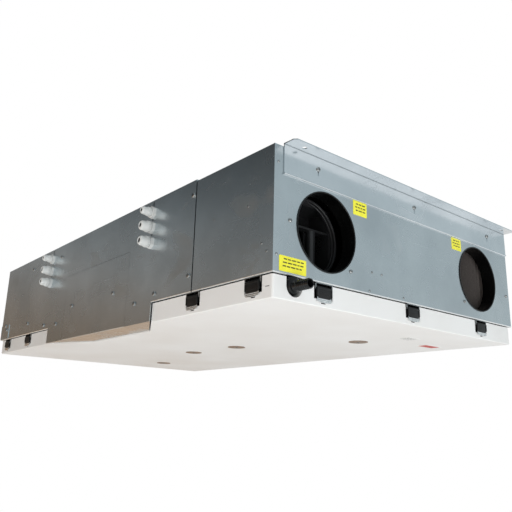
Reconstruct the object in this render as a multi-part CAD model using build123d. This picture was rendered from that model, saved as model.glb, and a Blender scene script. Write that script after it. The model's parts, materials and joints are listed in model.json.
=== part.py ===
"""Ceiling-hung heat recovery unit: a sheet-steel casing on two hanging brackets,
a plate exchanger, two fans, two filters, a bypass damper, an electrical box in one side
and an insulated service panel held up from below by draw latches.

Millimetres. +X runs across the duct end, +Y along the unit, +Z up. The origin is the
centre of the four ceiling bolt holes, on the top face of the bracket flanges.
"""
import math
import os

from build123d import *

# ---------------------------------------------------------------- driving dimensions
CASE_W = 825.0  # casing width, X
CASE_L = 1435.0  # casing length, Y
CASE_H = 246.5  # casing height, top sheet to bottom flange
SHEET = 1.5  # steel sheet thickness
RETURN = 25.0  # bottom flange turned inwards, which the panel seals against
TOP_RETURN = 15.0  # lip turned inwards under the top sheet
SIDE_GAP = 0.3  # gap left between neighbouring folded sheets
SEAM_GAP = 2.0  # wider gap between the two left-hand side sheets
BEND_R = 1.2  # outside radius of the folded edges

SEAM_Y = 252.5  # front end to the joint between the two left-hand side sheets
COVER_PROUD = 1.2  # the rear left sheet stands this far outside the front one
COVER_RISE = 3.0  # and this far above the top sheet

DUCT_BORE = 158.0  # bore of the collars, for 160 mm duct
DUCT_INSET = 139.0  # left side to the first duct axis
DUCT_FAR_INSET = 147.3  # second duct axis to the right side
DUCT_DROP = 144.0  # casing top to duct axis
COLLAR_WALL = 1.8
COLLAR_LIP = 1.6  # lip thickness, outside the end plate
COLLAR_LIP_W = 0.8  # lip width beyond the tube
COLLAR_DEPTH = 32.0
COLLAR_EDGE_R = 1.3  # rounded mouth

BRACKET_L = CASE_W - 23.0  # hanging bracket length
BRACKET_SHIFT = 11.0  # the brackets sit off the casing's middle, towards +X
BRACKET_T = 2.0
BRACKET_LEG = 63.0  # flange top face down to the leg's hemmed edge
BRACKET_FLANGE = 32.0  # flange reach outside the end plate
FLANGE_RISE = 6.0  # flange top face above the casing top
BOLT_HOLE = 10.0
BOLT_INSET = 39.5  # bracket end to hole centre
BOLT_REACH = 15.0  # end plate to hole centre
BRACKET_SCREW_PITCH = BRACKET_L / 2 - 90.2
BRACKET_SCREW_DROP = 27.0
FLANGE_CUT = 6.0  # cut corners of the flange
HEM_R = 2.0  # rolled lower edge of the leg
SLOT_W, SLOT_L, SLOT_FLOOR = 3.2, 14.0, 0.4  # blind slot under each screw

PANEL_DROP = 45.3  # casing bottom to panel underside
PANEL_INSET = 5.0  # panel side inside the casing face
PANEL_SHEET = 1.5
PANEL_CORNER_R = 4.5  # its four upright corners
PANEL_EDGE_R = 2.2  # its folded edge underneath
GASKET_T = 1.8
GASKET_W = 9.0
PANEL_CLEAR = 3.0  # gap round the electrical box and the drain elbow

EBOX_WALL0, EBOX_WALL1 = 396.0, CASE_L - 371.0  # electrical box along the left side, inside the casing
EBOX_Y0, EBOX_Y1 = 412.0, CASE_L - 425.0  # its drop below the casing, at the left side
EBOX_SLOPE0, EBOX_SLOPE1 = 123.0, 160.0  # length of its slanted ends
EBOX_DEPTH = 70.0
EBOX_DROP = 43.5  # casing bottom to the box's underside
HATCH_Y0, HATCH_Y1 = 530.0, CASE_L - 535.0  # its service cover
HATCH_TOP = 105.0  # casing top to the cover's top edge
HATCH_GAP = 0.6

LATCH_W = 46.0
LATCH_LEVER_W = 41.0
LATCH_PIVOT_DROP = 9.0  # casing bottom to latch pin
LATCH_PIVOT_IN = 7.0  # casing face to latch pin
LATCH_PIN_R = 1.5
LATCH_PIN_FIT = 0.06
LATCH_LEVER_H = 20.5
LATCH_LEVER_T = 5.5
LATCH_HOOK_T = 1.4
LATCH_REACH = 28.5  # pin down to the hook's lip
FRONT_LATCHES = (133.0, CASE_W / 2 - 2.0, CASE_W - 140.5)  # from the left side
SIDE_LATCHES = (58.5, 252.0, CASE_L - 255.0, CASE_L - 67.0)  # from the front end

GLAND_Y = (430.0, CASE_L - 406.0)  # two rows of cable glands, from the front end
GLAND_DROPS = (29.0, 66.0, 103.0)  # casing top to each gland
GLAND_THREAD_R = 10.0
GLAND_HEX = 27.0  # across flats
GLAND_REACH = 33.0
GLAND_SLOT = 4.0  # slot in the sheet behind each row of glands, down from its top
GLAND_COLLAR = 7.0  # body hexagon's length outside the sheet
LOCKNUT_T = 6.0
NUT_HEX_L = 10.0
DOME_R, DOME_EDGE_R = 11.5, 4.5
MOUTH_R, MOUTH_DEPTH = 5.5, 3.0
MEMBRANE_T = 1.5

DRAIN_X = 58.0  # left side to drain elbow axis
DRAIN_Y = 17.0  # front end to drain elbow axis
DRAIN_R = 17.0
DRAIN_BORE = 7.0
DRAIN_DROP = 17.5  # casing bottom to the hose barb's axis
BARB_R = 10.0
BARB_RIBS, BARB_PITCH, BARB_RIB = 6, 5.0, 1.2  # saw-tooth ribs: number, pitch, depth
BARB_LAND = 2.0  # flat between two ribs
BARB_OUT = 36.0  # barb tip outside the front end

FOAM = 24.0  # casing insulation
CORE_HALF_W = CASE_W / 2 - 157.5
CORE_HALF_L = 0.202 * CASE_L
CORE_SIDE_L = 0.132 * CASE_L  # length of the core's straight sides
CORE_SIDE_GAP = 90.0  # left foam face to the core, past the electrical box
FILTER_T = 46.0
FILTER_STANDOFF = 3.0  # collar end to filter face
PLEAT_PITCH = 14.0
PLEAT_FOLD = 5.0  # depth of a fold's crest
PLEAT_IN = 3.0  # filter face to the folds
FRAME_W = 4.0  # filter frame's width
FILTER_FIT = 1.0  # frame to the foam round it
MEDIA_FIT, MEDIA_END = 0.2, 1.0  # medium to the frame, and past its last fold
SHELF = 14.0  # drip tray height
TRAY_WALL = 2.0
TRAY_GROW = 6.0  # tray beyond the core's outline
RUN_SIDE, RUN_FRONT = 14.0, 8.0  # drain channel: side foam and front flange to its walls
RUN_HALF, RUN_L = 22.0, 207.0  # drain axis to its inner wall, straight length along the side
RUN_IN, RUN_SKEW = 60.0, 40.0  # its reach under the core, its width where it turns
SPOUT_HALF, SPOUT_WALL = 13.0, 5.0  # covered spout over the drain: half width, side wall
SPOUT_LAP = 4.0  # the spout runs on past the channel's front wall

FAN_R = 98.0  # impeller radius
FAN_H = 64.0  # impeller height
FAN_BLADES = 28
SCROLL_R = 128.0
SCROLL_H = 118.0
SCROLL_WALL = 2.5
FAN_IN = 255.0  # end of the casing to the fan's axis
RING_L = 34.0  # duct collar's inner end to the scroll's square mouth
RING_WALL, RING_BAND = 4.5, 5.0  # two bands round the mouth: wall and width
RING_GAP = 3.0  # groove between the bands
RING_EDGE_R = 1.4
MOUTH_OUT = 76.0  # half size of the square box behind the bands
MOTOR_R = 42.0
SHAFT_R = 4.0
SHAFT_FIT = 0.05

DAMPER_T = 3.0
DAMPER_H = 130.0

# ---------------------------------------------------------------- derived planes
X_L = -CASE_W / 2 - BRACKET_SHIFT
X_R = X_L + CASE_W
Y_F = -CASE_L / 2
Y_B = CASE_L / 2
Z_T = -FLANGE_RISE
Z_B = Z_T - CASE_H
Z_PANEL = Z_B - PANEL_DROP
Z_EBOX = Z_B - EBOX_DROP
COVER_X = X_L - COVER_PROUD
COVER_IN = COVER_X + SHEET  # inner face of the rear left sheet
EBOX_TOP = Z_T - 2 * SHEET - 0.5
FOAM_TOP = EBOX_TOP
FOAM_BOTTOM = Z_B + SHEET + 0.5
ROOF = FOAM_TOP - FOAM  # ceiling of the air chambers
DUCT_Z = Z_T - DUCT_DROP
DUCT_R = DUCT_BORE / 2
DUCT_X = (X_L + DUCT_INSET, X_R - DUCT_FAR_INSET)
CORE_X = X_L + EBOX_DEPTH + CORE_SIDE_GAP + CORE_HALF_W
CORE_Y = (Y_F + Y_B) / 2
TRAY_FLOOR = FOAM_BOTTOM
CORE_FLOOR = TRAY_FLOOR + SHELF + 2.0
COLLAR_END = Y_F + COLLAR_DEPTH


# ---------------------------------------------------------------- small helpers
DRAWN_W, DRAWN_L, DRAWN_H = 825.0, 1435.0, 246.5  # casing that the tables of places are drawn on


def kept(place, drawn, size):
    """A drawn place, kept at its distance from the nearer end when the casing's size changes."""
    return place if place < drawn / 2 else size - (drawn - place)


def across(x):
    """World X of a place drawn from the left side."""
    return X_L + kept(x, DRAWN_W, CASE_W)


def along(y):
    """World Y of a place drawn from the front end."""
    return Y_F + kept(y, DRAWN_L, CASE_L)


def below(drop):
    """World Z of a place drawn from the casing's top."""
    return Z_T - kept(drop, DRAWN_H, CASE_H)


def box(x0, x1, y0, y1, z0, z1):
    """A box between two corners."""
    size = Box(x1 - x0, y1 - y0, z1 - z0)
    return Pos((x0 + x1) / 2, (y0 + y1) / 2, (z0 + z1) / 2) * size


def prism(points, z0, z1):
    """An upright prism over a plan outline."""
    face = make_face(Polyline(*points, close=True))
    return Pos(0, 0, z0) * extrude(face, z1 - z0, dir=(0, 0, 1))


def rod(start, end, radius):
    """A round bar from one point to another."""
    a, b = Vector(*start), Vector(*end)
    plane = Plane(origin=a, z_dir=b - a)
    return plane * Cylinder(radius, (b - a).length, align=(Align.CENTER, Align.CENTER, Align.MIN))


def turned(shape):
    """The same piece at the other end and the other duct: half a turn between the ducts."""
    middle = Axis((sum(DUCT_X) / 2, 0, 0), (0, 0, 1))
    return shape.rotate(middle, 180)


def mirrored(shape):
    """The same piece at the other end, mirrored."""
    return shape.mirror(Plane.XZ)


def save(name, *solids):
    """Write one node's solids."""
    shape = solids[0] if len(solids) == 1 else Compound(children=list(solids))
    export_step(shape, "parts/" + name + ".step")


# ---------------------------------------------------------------- casing sheets
def end_plate():
    """Front end: one folded sheet with two duct holes and a sealing flange."""
    plate = box(X_L, X_R, Y_F, Y_F + SHEET, Z_B, Z_T)
    edges = plate.edges().filter_by(Axis.X).sort_by(Axis.Y)[:2]
    plate = fillet(edges, BEND_R)
    x0, x1 = X_L + SHEET + SIDE_GAP, X_R - SHEET - SIDE_GAP
    plate += box(x0, x1, Y_F + SHEET / 2, Y_F + RETURN, Z_B, Z_B + SHEET)
    plate += box(x0, x1, Y_F + SHEET / 2, Y_F + TOP_RETURN, Z_T - 2 * SHEET, Z_T - SHEET)
    for x in DUCT_X:
        plate -= rod((x, Y_F - 1, DUCT_Z), (x, Y_F + SHEET + 1, DUCT_Z), DUCT_R + COLLAR_WALL)
    return plate


def rear_plate():
    """Rear end: as the front, set in beside the rear left sheet, with no drain hole."""
    plate = mirrored(end_plate())
    return plate - box(X_L - 1, COVER_IN, Y_B - 2 * RETURN, Y_B + 1, Z_B - 1, Z_T + 1)


def drain_hole():
    """The drain elbow's hole through the front flange."""
    x, y = X_L + DRAIN_X, Y_F + DRAIN_Y
    return rod((x, y, Z_B - 1), (x, y, Z_B + SHEET + 1), BARB_R)


def right_side():
    y0, y1 = Y_F + SHEET, Y_B - SHEET
    side = box(X_R - SHEET, X_R, y0, y1, Z_B, Z_T)
    side = fillet(side.edges().filter_by(Axis.Y).sort_by(Axis.X)[-2:], BEND_R)
    lip0, lip1 = Y_F + RETURN + SIDE_GAP, Y_B - RETURN - SIDE_GAP
    side += box(X_R - RETURN, X_R - SHEET / 2, lip0, lip1, Z_B, Z_B + SHEET)
    side += box(X_R - TOP_RETURN, X_R - SHEET / 2, lip0, lip1, Z_T - 2 * SHEET, Z_T - SHEET)
    return side


def left_front_side():
    y1 = Y_F + SEAM_Y - SEAM_GAP
    side = box(X_L, X_L + SHEET, Y_F + SHEET, y1, Z_B, Z_T)
    side = fillet(side.edges().filter_by(Axis.Y).sort_by(Axis.X)[:2], BEND_R)
    lip0 = Y_F + RETURN + SIDE_GAP
    side += box(X_L + SHEET / 2, X_L + RETURN, lip0, y1, Z_B, Z_B + SHEET)
    side += box(X_L + SHEET / 2, X_L + TOP_RETURN, lip0, y1, Z_T - 2 * SHEET, Z_T - SHEET)
    return side


def gland_holes(radius):
    """The six cable gland holes through the left side."""
    holes = []
    for y in GLAND_Y:
        for drop in GLAND_DROPS:
            z = Z_T - drop
            holes.append(rod((COVER_X - 1, Y_F + y, z), (COVER_IN + 1, Y_F + y, z), radius))
    return holes


def left_cover():
    """Rear left sheet: stands proud, hides the electrical box and runs down beside the panel."""
    y0, y1 = Y_F + SEAM_Y, Y_B
    drop0, drop1 = Y_F + EBOX_Y0, Y_F + EBOX_Y1
    z1 = Z_T + COVER_RISE
    side = box(COVER_X, COVER_IN, y0, y1, Z_B, z1)
    side = fillet(side.edges().filter_by(Axis.Y).sort_by(Axis.X)[:2], BEND_R)
    side += box(COVER_X, COVER_IN, drop0, drop1, Z_EBOX, Z_B + 2 * SHEET)
    for lip0, lip1 in ((y0, drop0), (drop1, Y_B - RETURN - SIDE_GAP)):
        side += box(COVER_IN - SHEET / 2, X_L + RETURN, lip0, lip1, Z_B, Z_B + SHEET)
    side += box(COVER_IN - SHEET / 2, X_L + TOP_RETURN, y0, y1, z1 - SHEET, z1)
    hatch0, hatch1 = Y_F + HATCH_Y0, Y_F + HATCH_Y1
    side -= box(COVER_X - 1, COVER_IN + 1, hatch0, hatch1, Z_EBOX - 1, Z_T - HATCH_TOP)
    for hole in gland_holes(GLAND_THREAD_R):
        side -= hole
    for y in GLAND_Y:
        slot0, slot1 = Y_F + y - GLAND_SLOT / 2, Y_F + y + GLAND_SLOT / 2
        side -= box(COVER_X - 1, COVER_IN + 1, slot0, slot1, Z_T - max(GLAND_DROPS), Z_T - SHEET)
    return side


def top_sheet():
    """Roof, laid on the lips of the four walls."""
    return box(X_L + SHEET + SIDE_GAP, X_R - SHEET - SIDE_GAP,
               Y_F + SHEET + SIDE_GAP, Y_B - SHEET - SIDE_GAP, Z_T - SHEET, Z_T)


CORNER_L = 74.0  # corner plate along the side
CORNER_LIFT, CORNER_TOP = 1.0, 50.0  # its lower and upper edge above the casing bottom
CORNER_CUT = 3.0


def corner_plate():
    """Small folded plate that ties the rear left corner together."""
    plate = box(COVER_X - SHEET, COVER_X, Y_B - CORNER_L, Y_B, Z_B + CORNER_LIFT, Z_B + CORNER_TOP)
    return chamfer(plate.edges().filter_by(Axis.X), CORNER_CUT)


# ---------------------------------------------------------------- electrical box
def ebox_outline(grow, mouth):
    """Plan of the electrical box: a trapezium let into the left side."""
    lean0 = grow * math.hypot(EBOX_SLOPE0, EBOX_DEPTH) / EBOX_DEPTH
    lean1 = grow * math.hypot(EBOX_SLOPE1, EBOX_DEPTH) / EBOX_DEPTH
    back = COVER_IN + EBOX_DEPTH + grow
    y0, y1 = Y_F + EBOX_Y0 - lean0, Y_F + EBOX_Y1 + lean1
    reach = (back - mouth) / EBOX_DEPTH
    tip0 = y0 + EBOX_SLOPE0 * (COVER_IN - mouth) / -EBOX_DEPTH
    tip1 = y1 - EBOX_SLOPE1 * (COVER_IN - mouth) / -EBOX_DEPTH
    return [(mouth, tip0), (back, tip0 + EBOX_SLOPE0 * reach),
            (back, tip1 - EBOX_SLOPE1 * reach), (mouth, tip1)]


def ebox_room(grow, mouth):
    """Space of the electrical box inside the casing: a plain box along the left side."""
    return box(mouth, COVER_IN + EBOX_DEPTH + grow, Y_F + EBOX_WALL0 - grow, Y_F + EBOX_WALL1 + grow,
               Z_B + SHEET - grow, EBOX_TOP + grow)


def ebox_tray():
    """Folded tray behind the left cover that holds the electrics."""
    tray = ebox_room(0, X_L + SHEET) + prism(ebox_outline(0, COVER_IN), Z_EBOX, Z_B + 2 * SHEET)
    tray -= ebox_room(-SHEET, COVER_IN - 5)
    tray -= prism(ebox_outline(-SHEET, COVER_IN - 5), Z_EBOX + SHEET, Z_B + 3 * SHEET)
    return tray - hatch_floor(0, Z_EBOX - 1, Z_EBOX + SHEET + 1)


def hatch_floor(gap, z0, z1):
    """Floor of the service cover, inside the drop's slanted ends."""
    floor = prism(ebox_outline(-2 * SHEET - gap, COVER_X), z0, z1)
    return floor & box(COVER_X, X_R, Y_F + HATCH_Y0 + gap, Y_F + HATCH_Y1 - gap, z0, z1)


def electrical_cover():
    """Service cover of the electrical box: side and bottom in one folded sheet."""
    y0, y1 = Y_F + HATCH_Y0 + HATCH_GAP, Y_F + HATCH_Y1 - HATCH_GAP
    cover = box(COVER_X, COVER_IN, y0, y1, Z_EBOX, Z_T - HATCH_TOP - HATCH_GAP)
    cover += hatch_floor(HATCH_GAP, Z_EBOX, Z_EBOX + SHEET)
    corner = cover.edges().filter_by(Axis.Y).sort_by(Axis.X)[:2].sort_by(Axis.Z)[:1]
    return fillet(corner, BEND_R)


BOARD_STAND = 8.0  # board to the box's back wall
BOARD_T = 1.6
BOARD_END = 20.0  # board's ends to the box's corners
BOARD_X = COVER_IN + EBOX_DEPTH - SHEET - BOARD_STAND
BOARD_FACE = BOARD_X - BOARD_T
BOARD_Y0 = Y_F + EBOX_Y0 + EBOX_SLOPE0 + BOARD_END
BOARD_Y1 = Y_F + EBOX_Y1 - EBOX_SLOPE1 - BOARD_END
BOARD_Z0 = Z_B + 10.0
BOARD_Z1 = Z_T - 30.0
BOARD_L = BOARD_Y1 - BOARD_Y0
PILLAR_R, PILLAR_IN = 3.0, 8.0  # board pillars, and their distance from the board's corners


def control_board():
    """Circuit board on four pillars."""
    board = box(BOARD_FACE, BOARD_X, BOARD_Y0, BOARD_Y1, BOARD_Z0, BOARD_Z1)
    for y in (BOARD_Y0 + PILLAR_IN, BOARD_Y1 - PILLAR_IN):
        for z in (BOARD_Z0 + PILLAR_IN, BOARD_Z1 - PILLAR_IN):
            board += rod((BOARD_X - BOARD_T / 2, y, z), (COVER_IN + EBOX_DEPTH - SHEET, y, z), PILLAR_R)
    return board


PARTS_TOP = BOARD_Z1 - 18.0  # top edge of the upper row of components
TRANSFORMER = (28.0, 0.15, 42.0)  # height off the board, length as a share of the board's, width
RELAY = (16.0, 0.06, 28.0)
RELAYS, CAPACITORS, FINS = 4, 3, 6
CAPACITOR_R, CAPACITOR_H = 8.0, 24.0
FIN_H, FIN_T, FIN_Z0, FIN_Z1 = 20.0, 2.0, 30.0, 90.0


def on_board(size, start, z1):
    """A block on the board; start is a share of the board's length from its front end."""
    height, length, width = size
    y0 = BOARD_Y0 + start * BOARD_L
    return box(BOARD_FACE - height, BOARD_FACE, y0, y0 + length * BOARD_L, z1 - width, z1)


def board_components():
    """Transformer, relays, capacitors and the fins of a heat sink, standing on the board."""
    pieces = [on_board(TRANSFORMER, 0.07, PARTS_TOP)]
    pieces += [on_board(RELAY, 0.45 + 0.08 * i, PARTS_TOP) for i in range(RELAYS)]
    z = BOARD_Z0 + (FIN_Z0 + FIN_Z1) / 2
    for i in range(CAPACITORS):
        y = BOARD_Y0 + (0.11 + 0.09 * i) * BOARD_L
        pieces.append(rod((BOARD_FACE, y, z), (BOARD_FACE - CAPACITOR_H, y, z), CAPACITOR_R))
    for i in range(FINS):
        y = BOARD_Y0 + (0.75 + 0.03 * i) * BOARD_L
        pieces.append(box(BOARD_FACE - FIN_H, BOARD_FACE, y, y + FIN_T, BOARD_Z0 + FIN_Z0, BOARD_Z0 + FIN_Z1))
    return pieces


TERMINAL_H, TERMINAL_W = 14.0, 16.0
TERMINAL_LIFT = 6.0  # board's lower edge to the blocks
TERMINAL_ROWS = ((0.07, 0.37), (0.44, 0.74))  # ends of each block, as shares of the board's length
TERMINALS = 8
CLAMP_R, CLAMP_DEPTH = 2.5, 6.0


def terminal_blocks():
    """Two rows of screw terminals below the board's components."""
    z0 = BOARD_Z0 + TERMINAL_LIFT
    front = BOARD_FACE - TERMINAL_H
    blocks = []
    for start, end in TERMINAL_ROWS:
        y0, y1 = BOARD_Y0 + start * BOARD_L, BOARD_Y0 + end * BOARD_L
        block = box(front, BOARD_FACE, y0, y1, z0, z0 + TERMINAL_W)
        pitch = (y1 - y0) / TERMINALS
        for i in range(TERMINALS):
            place = (y0 + (i + 0.5) * pitch, z0 + TERMINAL_W / 2)
            block -= rod((front - 1, *place), (front + CLAMP_DEPTH, *place), min(CLAMP_R, pitch / 3))
        blocks.append(block)
    return blocks


def hexagon(x, y, z, flats, length):
    """A hexagonal bar that stands out from the left side."""
    plane = Plane(origin=(x, y, z), x_dir=(0, 0, 1), z_dir=(-1, 0, 0))
    return extrude(plane * RegularPolygon(flats / 2, 6, major_radius=False), length)


def gland_body(y, z):
    """Gland body: thread through the sheet, a hexagon outside and a locknut inside."""
    body = hexagon(COVER_X, y, z, GLAND_HEX, GLAND_COLLAR)
    body += rod((COVER_X, y, z), (COVER_IN, y, z), GLAND_THREAD_R)
    body += hexagon(COVER_IN + LOCKNUT_T, y, z, GLAND_HEX - 2, LOCKNUT_T)
    return body


def gland_nut(y, z):
    """Domed gland nut, with a hexagon at its root and a round mouth."""
    root, tip = COVER_X - GLAND_COLLAR, COVER_X - GLAND_REACH
    nut = hexagon(root, y, z, GLAND_HEX - 2, NUT_HEX_L)
    nut += rod((root - NUT_HEX_L + 1, y, z), (tip, y, z), DOME_R)
    nut = fillet(nut.faces().sort_by(Axis.X)[0].edges(), DOME_EDGE_R)
    return nut - rod((tip - 1, y, z), (tip + MOUTH_DEPTH, y, z), MOUTH_R)


def gland_seal(y, z):
    """Closed rubber membrane, pierced by the cable when it is fitted."""
    back = COVER_X - GLAND_REACH + MOUTH_DEPTH
    return rod((back - MEMBRANE_T, y, z), (back, y, z), MOUTH_R - 0.1)


def gland_places():
    return [(Y_F + y, Z_T - drop) for y in GLAND_Y for drop in GLAND_DROPS]


# ---------------------------------------------------------------- hanging brackets
def hanging_bracket():
    """Folded rail on the front end: flange with two bolt holes, leg with a hemmed edge."""
    half = BRACKET_L / 2
    face = Y_F - BRACKET_T
    leg = box(-half, half, face, Y_F, -BRACKET_LEG, 0)
    flange = box(-half, half, Y_F - BRACKET_FLANGE, Y_F, -BRACKET_T, 0)
    flange = chamfer(flange.edges().filter_by(Axis.Z).sort_by(Axis.Y)[:2], FLANGE_CUT)
    hem_z = HEM_R - BRACKET_LEG
    hem = rod((-half, face, hem_z), (half, face, hem_z), HEM_R)
    hem -= box(-half, half, Y_F, Y_F + 2 * HEM_R, hem_z - 2 * HEM_R, 0)
    bracket = leg + flange + hem
    for x in (-half + BOLT_INSET, half - BOLT_INSET):
        hole = (x, Y_F - BOLT_REACH)
        bracket -= rod((*hole, -BRACKET_T - 1), (*hole, 1), BOLT_HOLE / 2)
    top = -BRACKET_SCREW_DROP
    for x in (-BRACKET_SCREW_PITCH, 0, BRACKET_SCREW_PITCH):
        bracket -= box(x - SLOT_W / 2, x + SLOT_W / 2, face - 1, Y_F - SLOT_FLOOR, top - SLOT_L, top)
    return bracket


HEAD_ROUND = 0.75  # rounding of a screw head, as a share of its height
BRACKET_HEAD_R, BRACKET_HEAD_H = 5.0, 2.6


def pan_head(place, direction, radius, height):
    """Low domed screw head with a cross recess, standing on a surface."""
    plane = Plane(origin=place, z_dir=direction)
    head = Cylinder(radius, height, align=(Align.CENTER, Align.CENTER, Align.MIN))
    head = fillet(head.edges().sort_by(Axis.Z)[-1], height * HEAD_ROUND)
    for size in ((radius, radius / 4), (radius / 4, radius)):
        head -= Pos(0, 0, height) * Box(*size, height)
    return plane * head


def bracket_screws():
    """Screw heads that hold both brackets to the end plates."""
    heads = []
    for x in (-BRACKET_SCREW_PITCH, 0, BRACKET_SCREW_PITCH):
        head = pan_head((x, Y_F - BRACKET_T, -BRACKET_SCREW_DROP), (0, -1, 0), BRACKET_HEAD_R,
                        BRACKET_HEAD_H)
        heads += [head, mirrored(head)]
    return heads


# ---------------------------------------------------------------- ducts and drain
def duct_collar(x):
    """Moulded collar that takes a round duct, with a thin lip outside the end plate."""
    outer = DUCT_R + COLLAR_WALL
    collar = rod((x, Y_F, DUCT_Z), (x, COLLAR_END, DUCT_Z), outer)
    collar += rod((x, Y_F - COLLAR_LIP, DUCT_Z), (x, Y_F, DUCT_Z), outer + COLLAR_LIP_W)
    collar -= rod((x, Y_F - COLLAR_LIP - 1, DUCT_Z), (x, COLLAR_END + 1, DUCT_Z), DUCT_R)
    mouth = collar.edges().filter_by(GeomType.CIRCLE).group_by(Axis.Y)[0].sort_by(SortBy.RADIUS)[:1]
    return fillet(mouth, COLLAR_EDGE_R)


def drain_elbow():
    """Condensate elbow below the front flange, with a ribbed hose barb."""
    x, y, z = X_L + DRAIN_X, Y_F + DRAIN_Y, Z_B - DRAIN_DROP
    tip = Y_F - BARB_OUT
    root_r = BARB_R - BARB_RIB
    elbow = rod((x, y, z), (x, y, Z_B), DRAIN_R) + Pos(x, y, z) * Sphere(DRAIN_R)
    elbow += rod((x, y, Z_B - 1), (x, y, TRAY_FLOOR), BARB_R)
    elbow += rod((x, y, z), (x, tip, z), root_r)
    for i in range(BARB_RIBS):
        plane = Plane(origin=(x, tip + (i + 1) * BARB_PITCH - BARB_LAND, z), z_dir=(0, -1, 0))
        rib = Cone(BARB_R, root_r, BARB_PITCH - BARB_LAND, align=(Align.CENTER, Align.CENTER, Align.MIN))
        elbow += plane * rib
    elbow -= rod((x, tip - 1, z), (x, y, z), DRAIN_BORE)
    return elbow - rod((x, y, z - DRAIN_BORE), (x, y, TRAY_FLOOR + 1), DRAIN_BORE)


def core_outline(grow, half_w=CORE_HALF_W, half_l=CORE_HALF_L):
    """Hexagonal plan of the exchanger, grown by a clearance."""
    w, tip, side = half_w + grow, half_l + grow * 1.3, CORE_SIDE_L / 2 + grow * 0.4
    corners = [(w, -side), (w, side), (0, tip), (-w, side), (-w, -side), (0, -tip)]
    return [(CORE_X + x, CORE_Y + y) for x, y in corners]


def drip_tray():
    """Condensate tray under the exchanger, with a channel to the drain."""
    x, y = X_L + DRAIN_X, Y_F + DRAIN_Y
    side_y = CORE_Y - CORE_SIDE_L / 2
    core_left = CORE_X - CORE_HALF_W
    inner = X_L + FOAM + RUN_SIDE
    outer = x + RUN_HALF
    front = Y_F + RETURN + RUN_FRONT
    bend = front + RUN_L
    rim = TRAY_FLOOR + SHELF

    def plan(shrink, z0, z1):
        core = prism(core_outline(TRAY_GROW - shrink), z0, z1)
        run = [(inner + shrink, front + shrink), (outer - shrink, front + shrink),
               (outer - shrink, bend + RUN_SKEW / 2), (core_left + 2 * RUN_IN, side_y - RUN_SKEW + shrink),
               (core_left + RUN_IN, side_y), (inner + shrink, bend - shrink)]
        return core + prism(run, z0, z1)

    tray = plan(0, TRAY_FLOOR, rim) - plan(TRAY_WALL, TRAY_FLOOR + TRAY_WALL, rim + 1)
    spout = box(x - SPOUT_HALF, x + SPOUT_HALF, y - SPOUT_HALF, front + SPOUT_LAP, TRAY_FLOOR, rim)
    bore_half = SPOUT_HALF - SPOUT_WALL
    bore = box(x - bore_half, x + bore_half, y - bore_half, front + SPOUT_LAP + TRAY_WALL,
               TRAY_FLOOR + TRAY_WALL, rim - TRAY_WALL)
    return tray + spout - bore - rod((x, y, TRAY_FLOOR - 1), (x, y, rim - TRAY_WALL), DRAIN_BORE)


# ---------------------------------------------------------------- insulation
CHAMBER_X0, CHAMBER_X1 = X_L + SHEET + FOAM, X_R - SHEET - FOAM
FOAM_FIT, SEAT_FIT, COLLAR_FIT = 0.5, 0.6, 0.4  # foam to the sheets, the core and the collars
TRAY_FIT, ROOM_FIT = 1.0, 1.0  # foam to the tray, and to the electrical box and the actuator
WEB = 12.0  # half the foam wall between the two air streams
CORE_SEAT = 14.0  # foam between the core's right side and the bypass
BYPASS_TURN = 50.0  # bypass mouth, beyond the core's straight side
BYPASS_X0 = CORE_X + CORE_HALF_W + CORE_SEAT + 2.0
BYPASS_Z0 = DUCT_Z - DAMPER_H / 2 - 2.0
BYPASS_Z1 = DUCT_Z + DAMPER_H / 2 + 2.0


def chamber(sign_x, sign_y):
    """Plan of one corner air chamber, from the casing corner to the core's slanted face."""
    x_out = CHAMBER_X0 if sign_x < 0 else CHAMBER_X1
    y_out = (CASE_L / 2 - SHEET - FOAM) * sign_y
    x_mid = CORE_X + sign_x * WEB
    x_core = CORE_X + sign_x * CORE_HALF_W
    y_tip = CORE_Y + sign_y * CORE_HALF_L
    y_side = CORE_Y + sign_y * CORE_SIDE_L / 2
    y_turn = CORE_Y + sign_y * (CORE_SIDE_L / 2 + BYPASS_TURN)
    y_wall = Y_F + (EBOX_WALL0 - WEB if sign_y < 0 else EBOX_WALL1 + WEB)
    if sign_x < 0:
        bend = [(x_out, y_wall), (X_L + EBOX_DEPTH + 2 * WEB, y_wall), (x_core, y_side)]
    else:
        bend = [(x_out, y_turn), (x_core + CORE_SEAT, y_side), (x_core, y_side)]
    return [(x_out, y_out), *bend, (x_mid, y_tip), (x_mid, y_out)]


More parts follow.
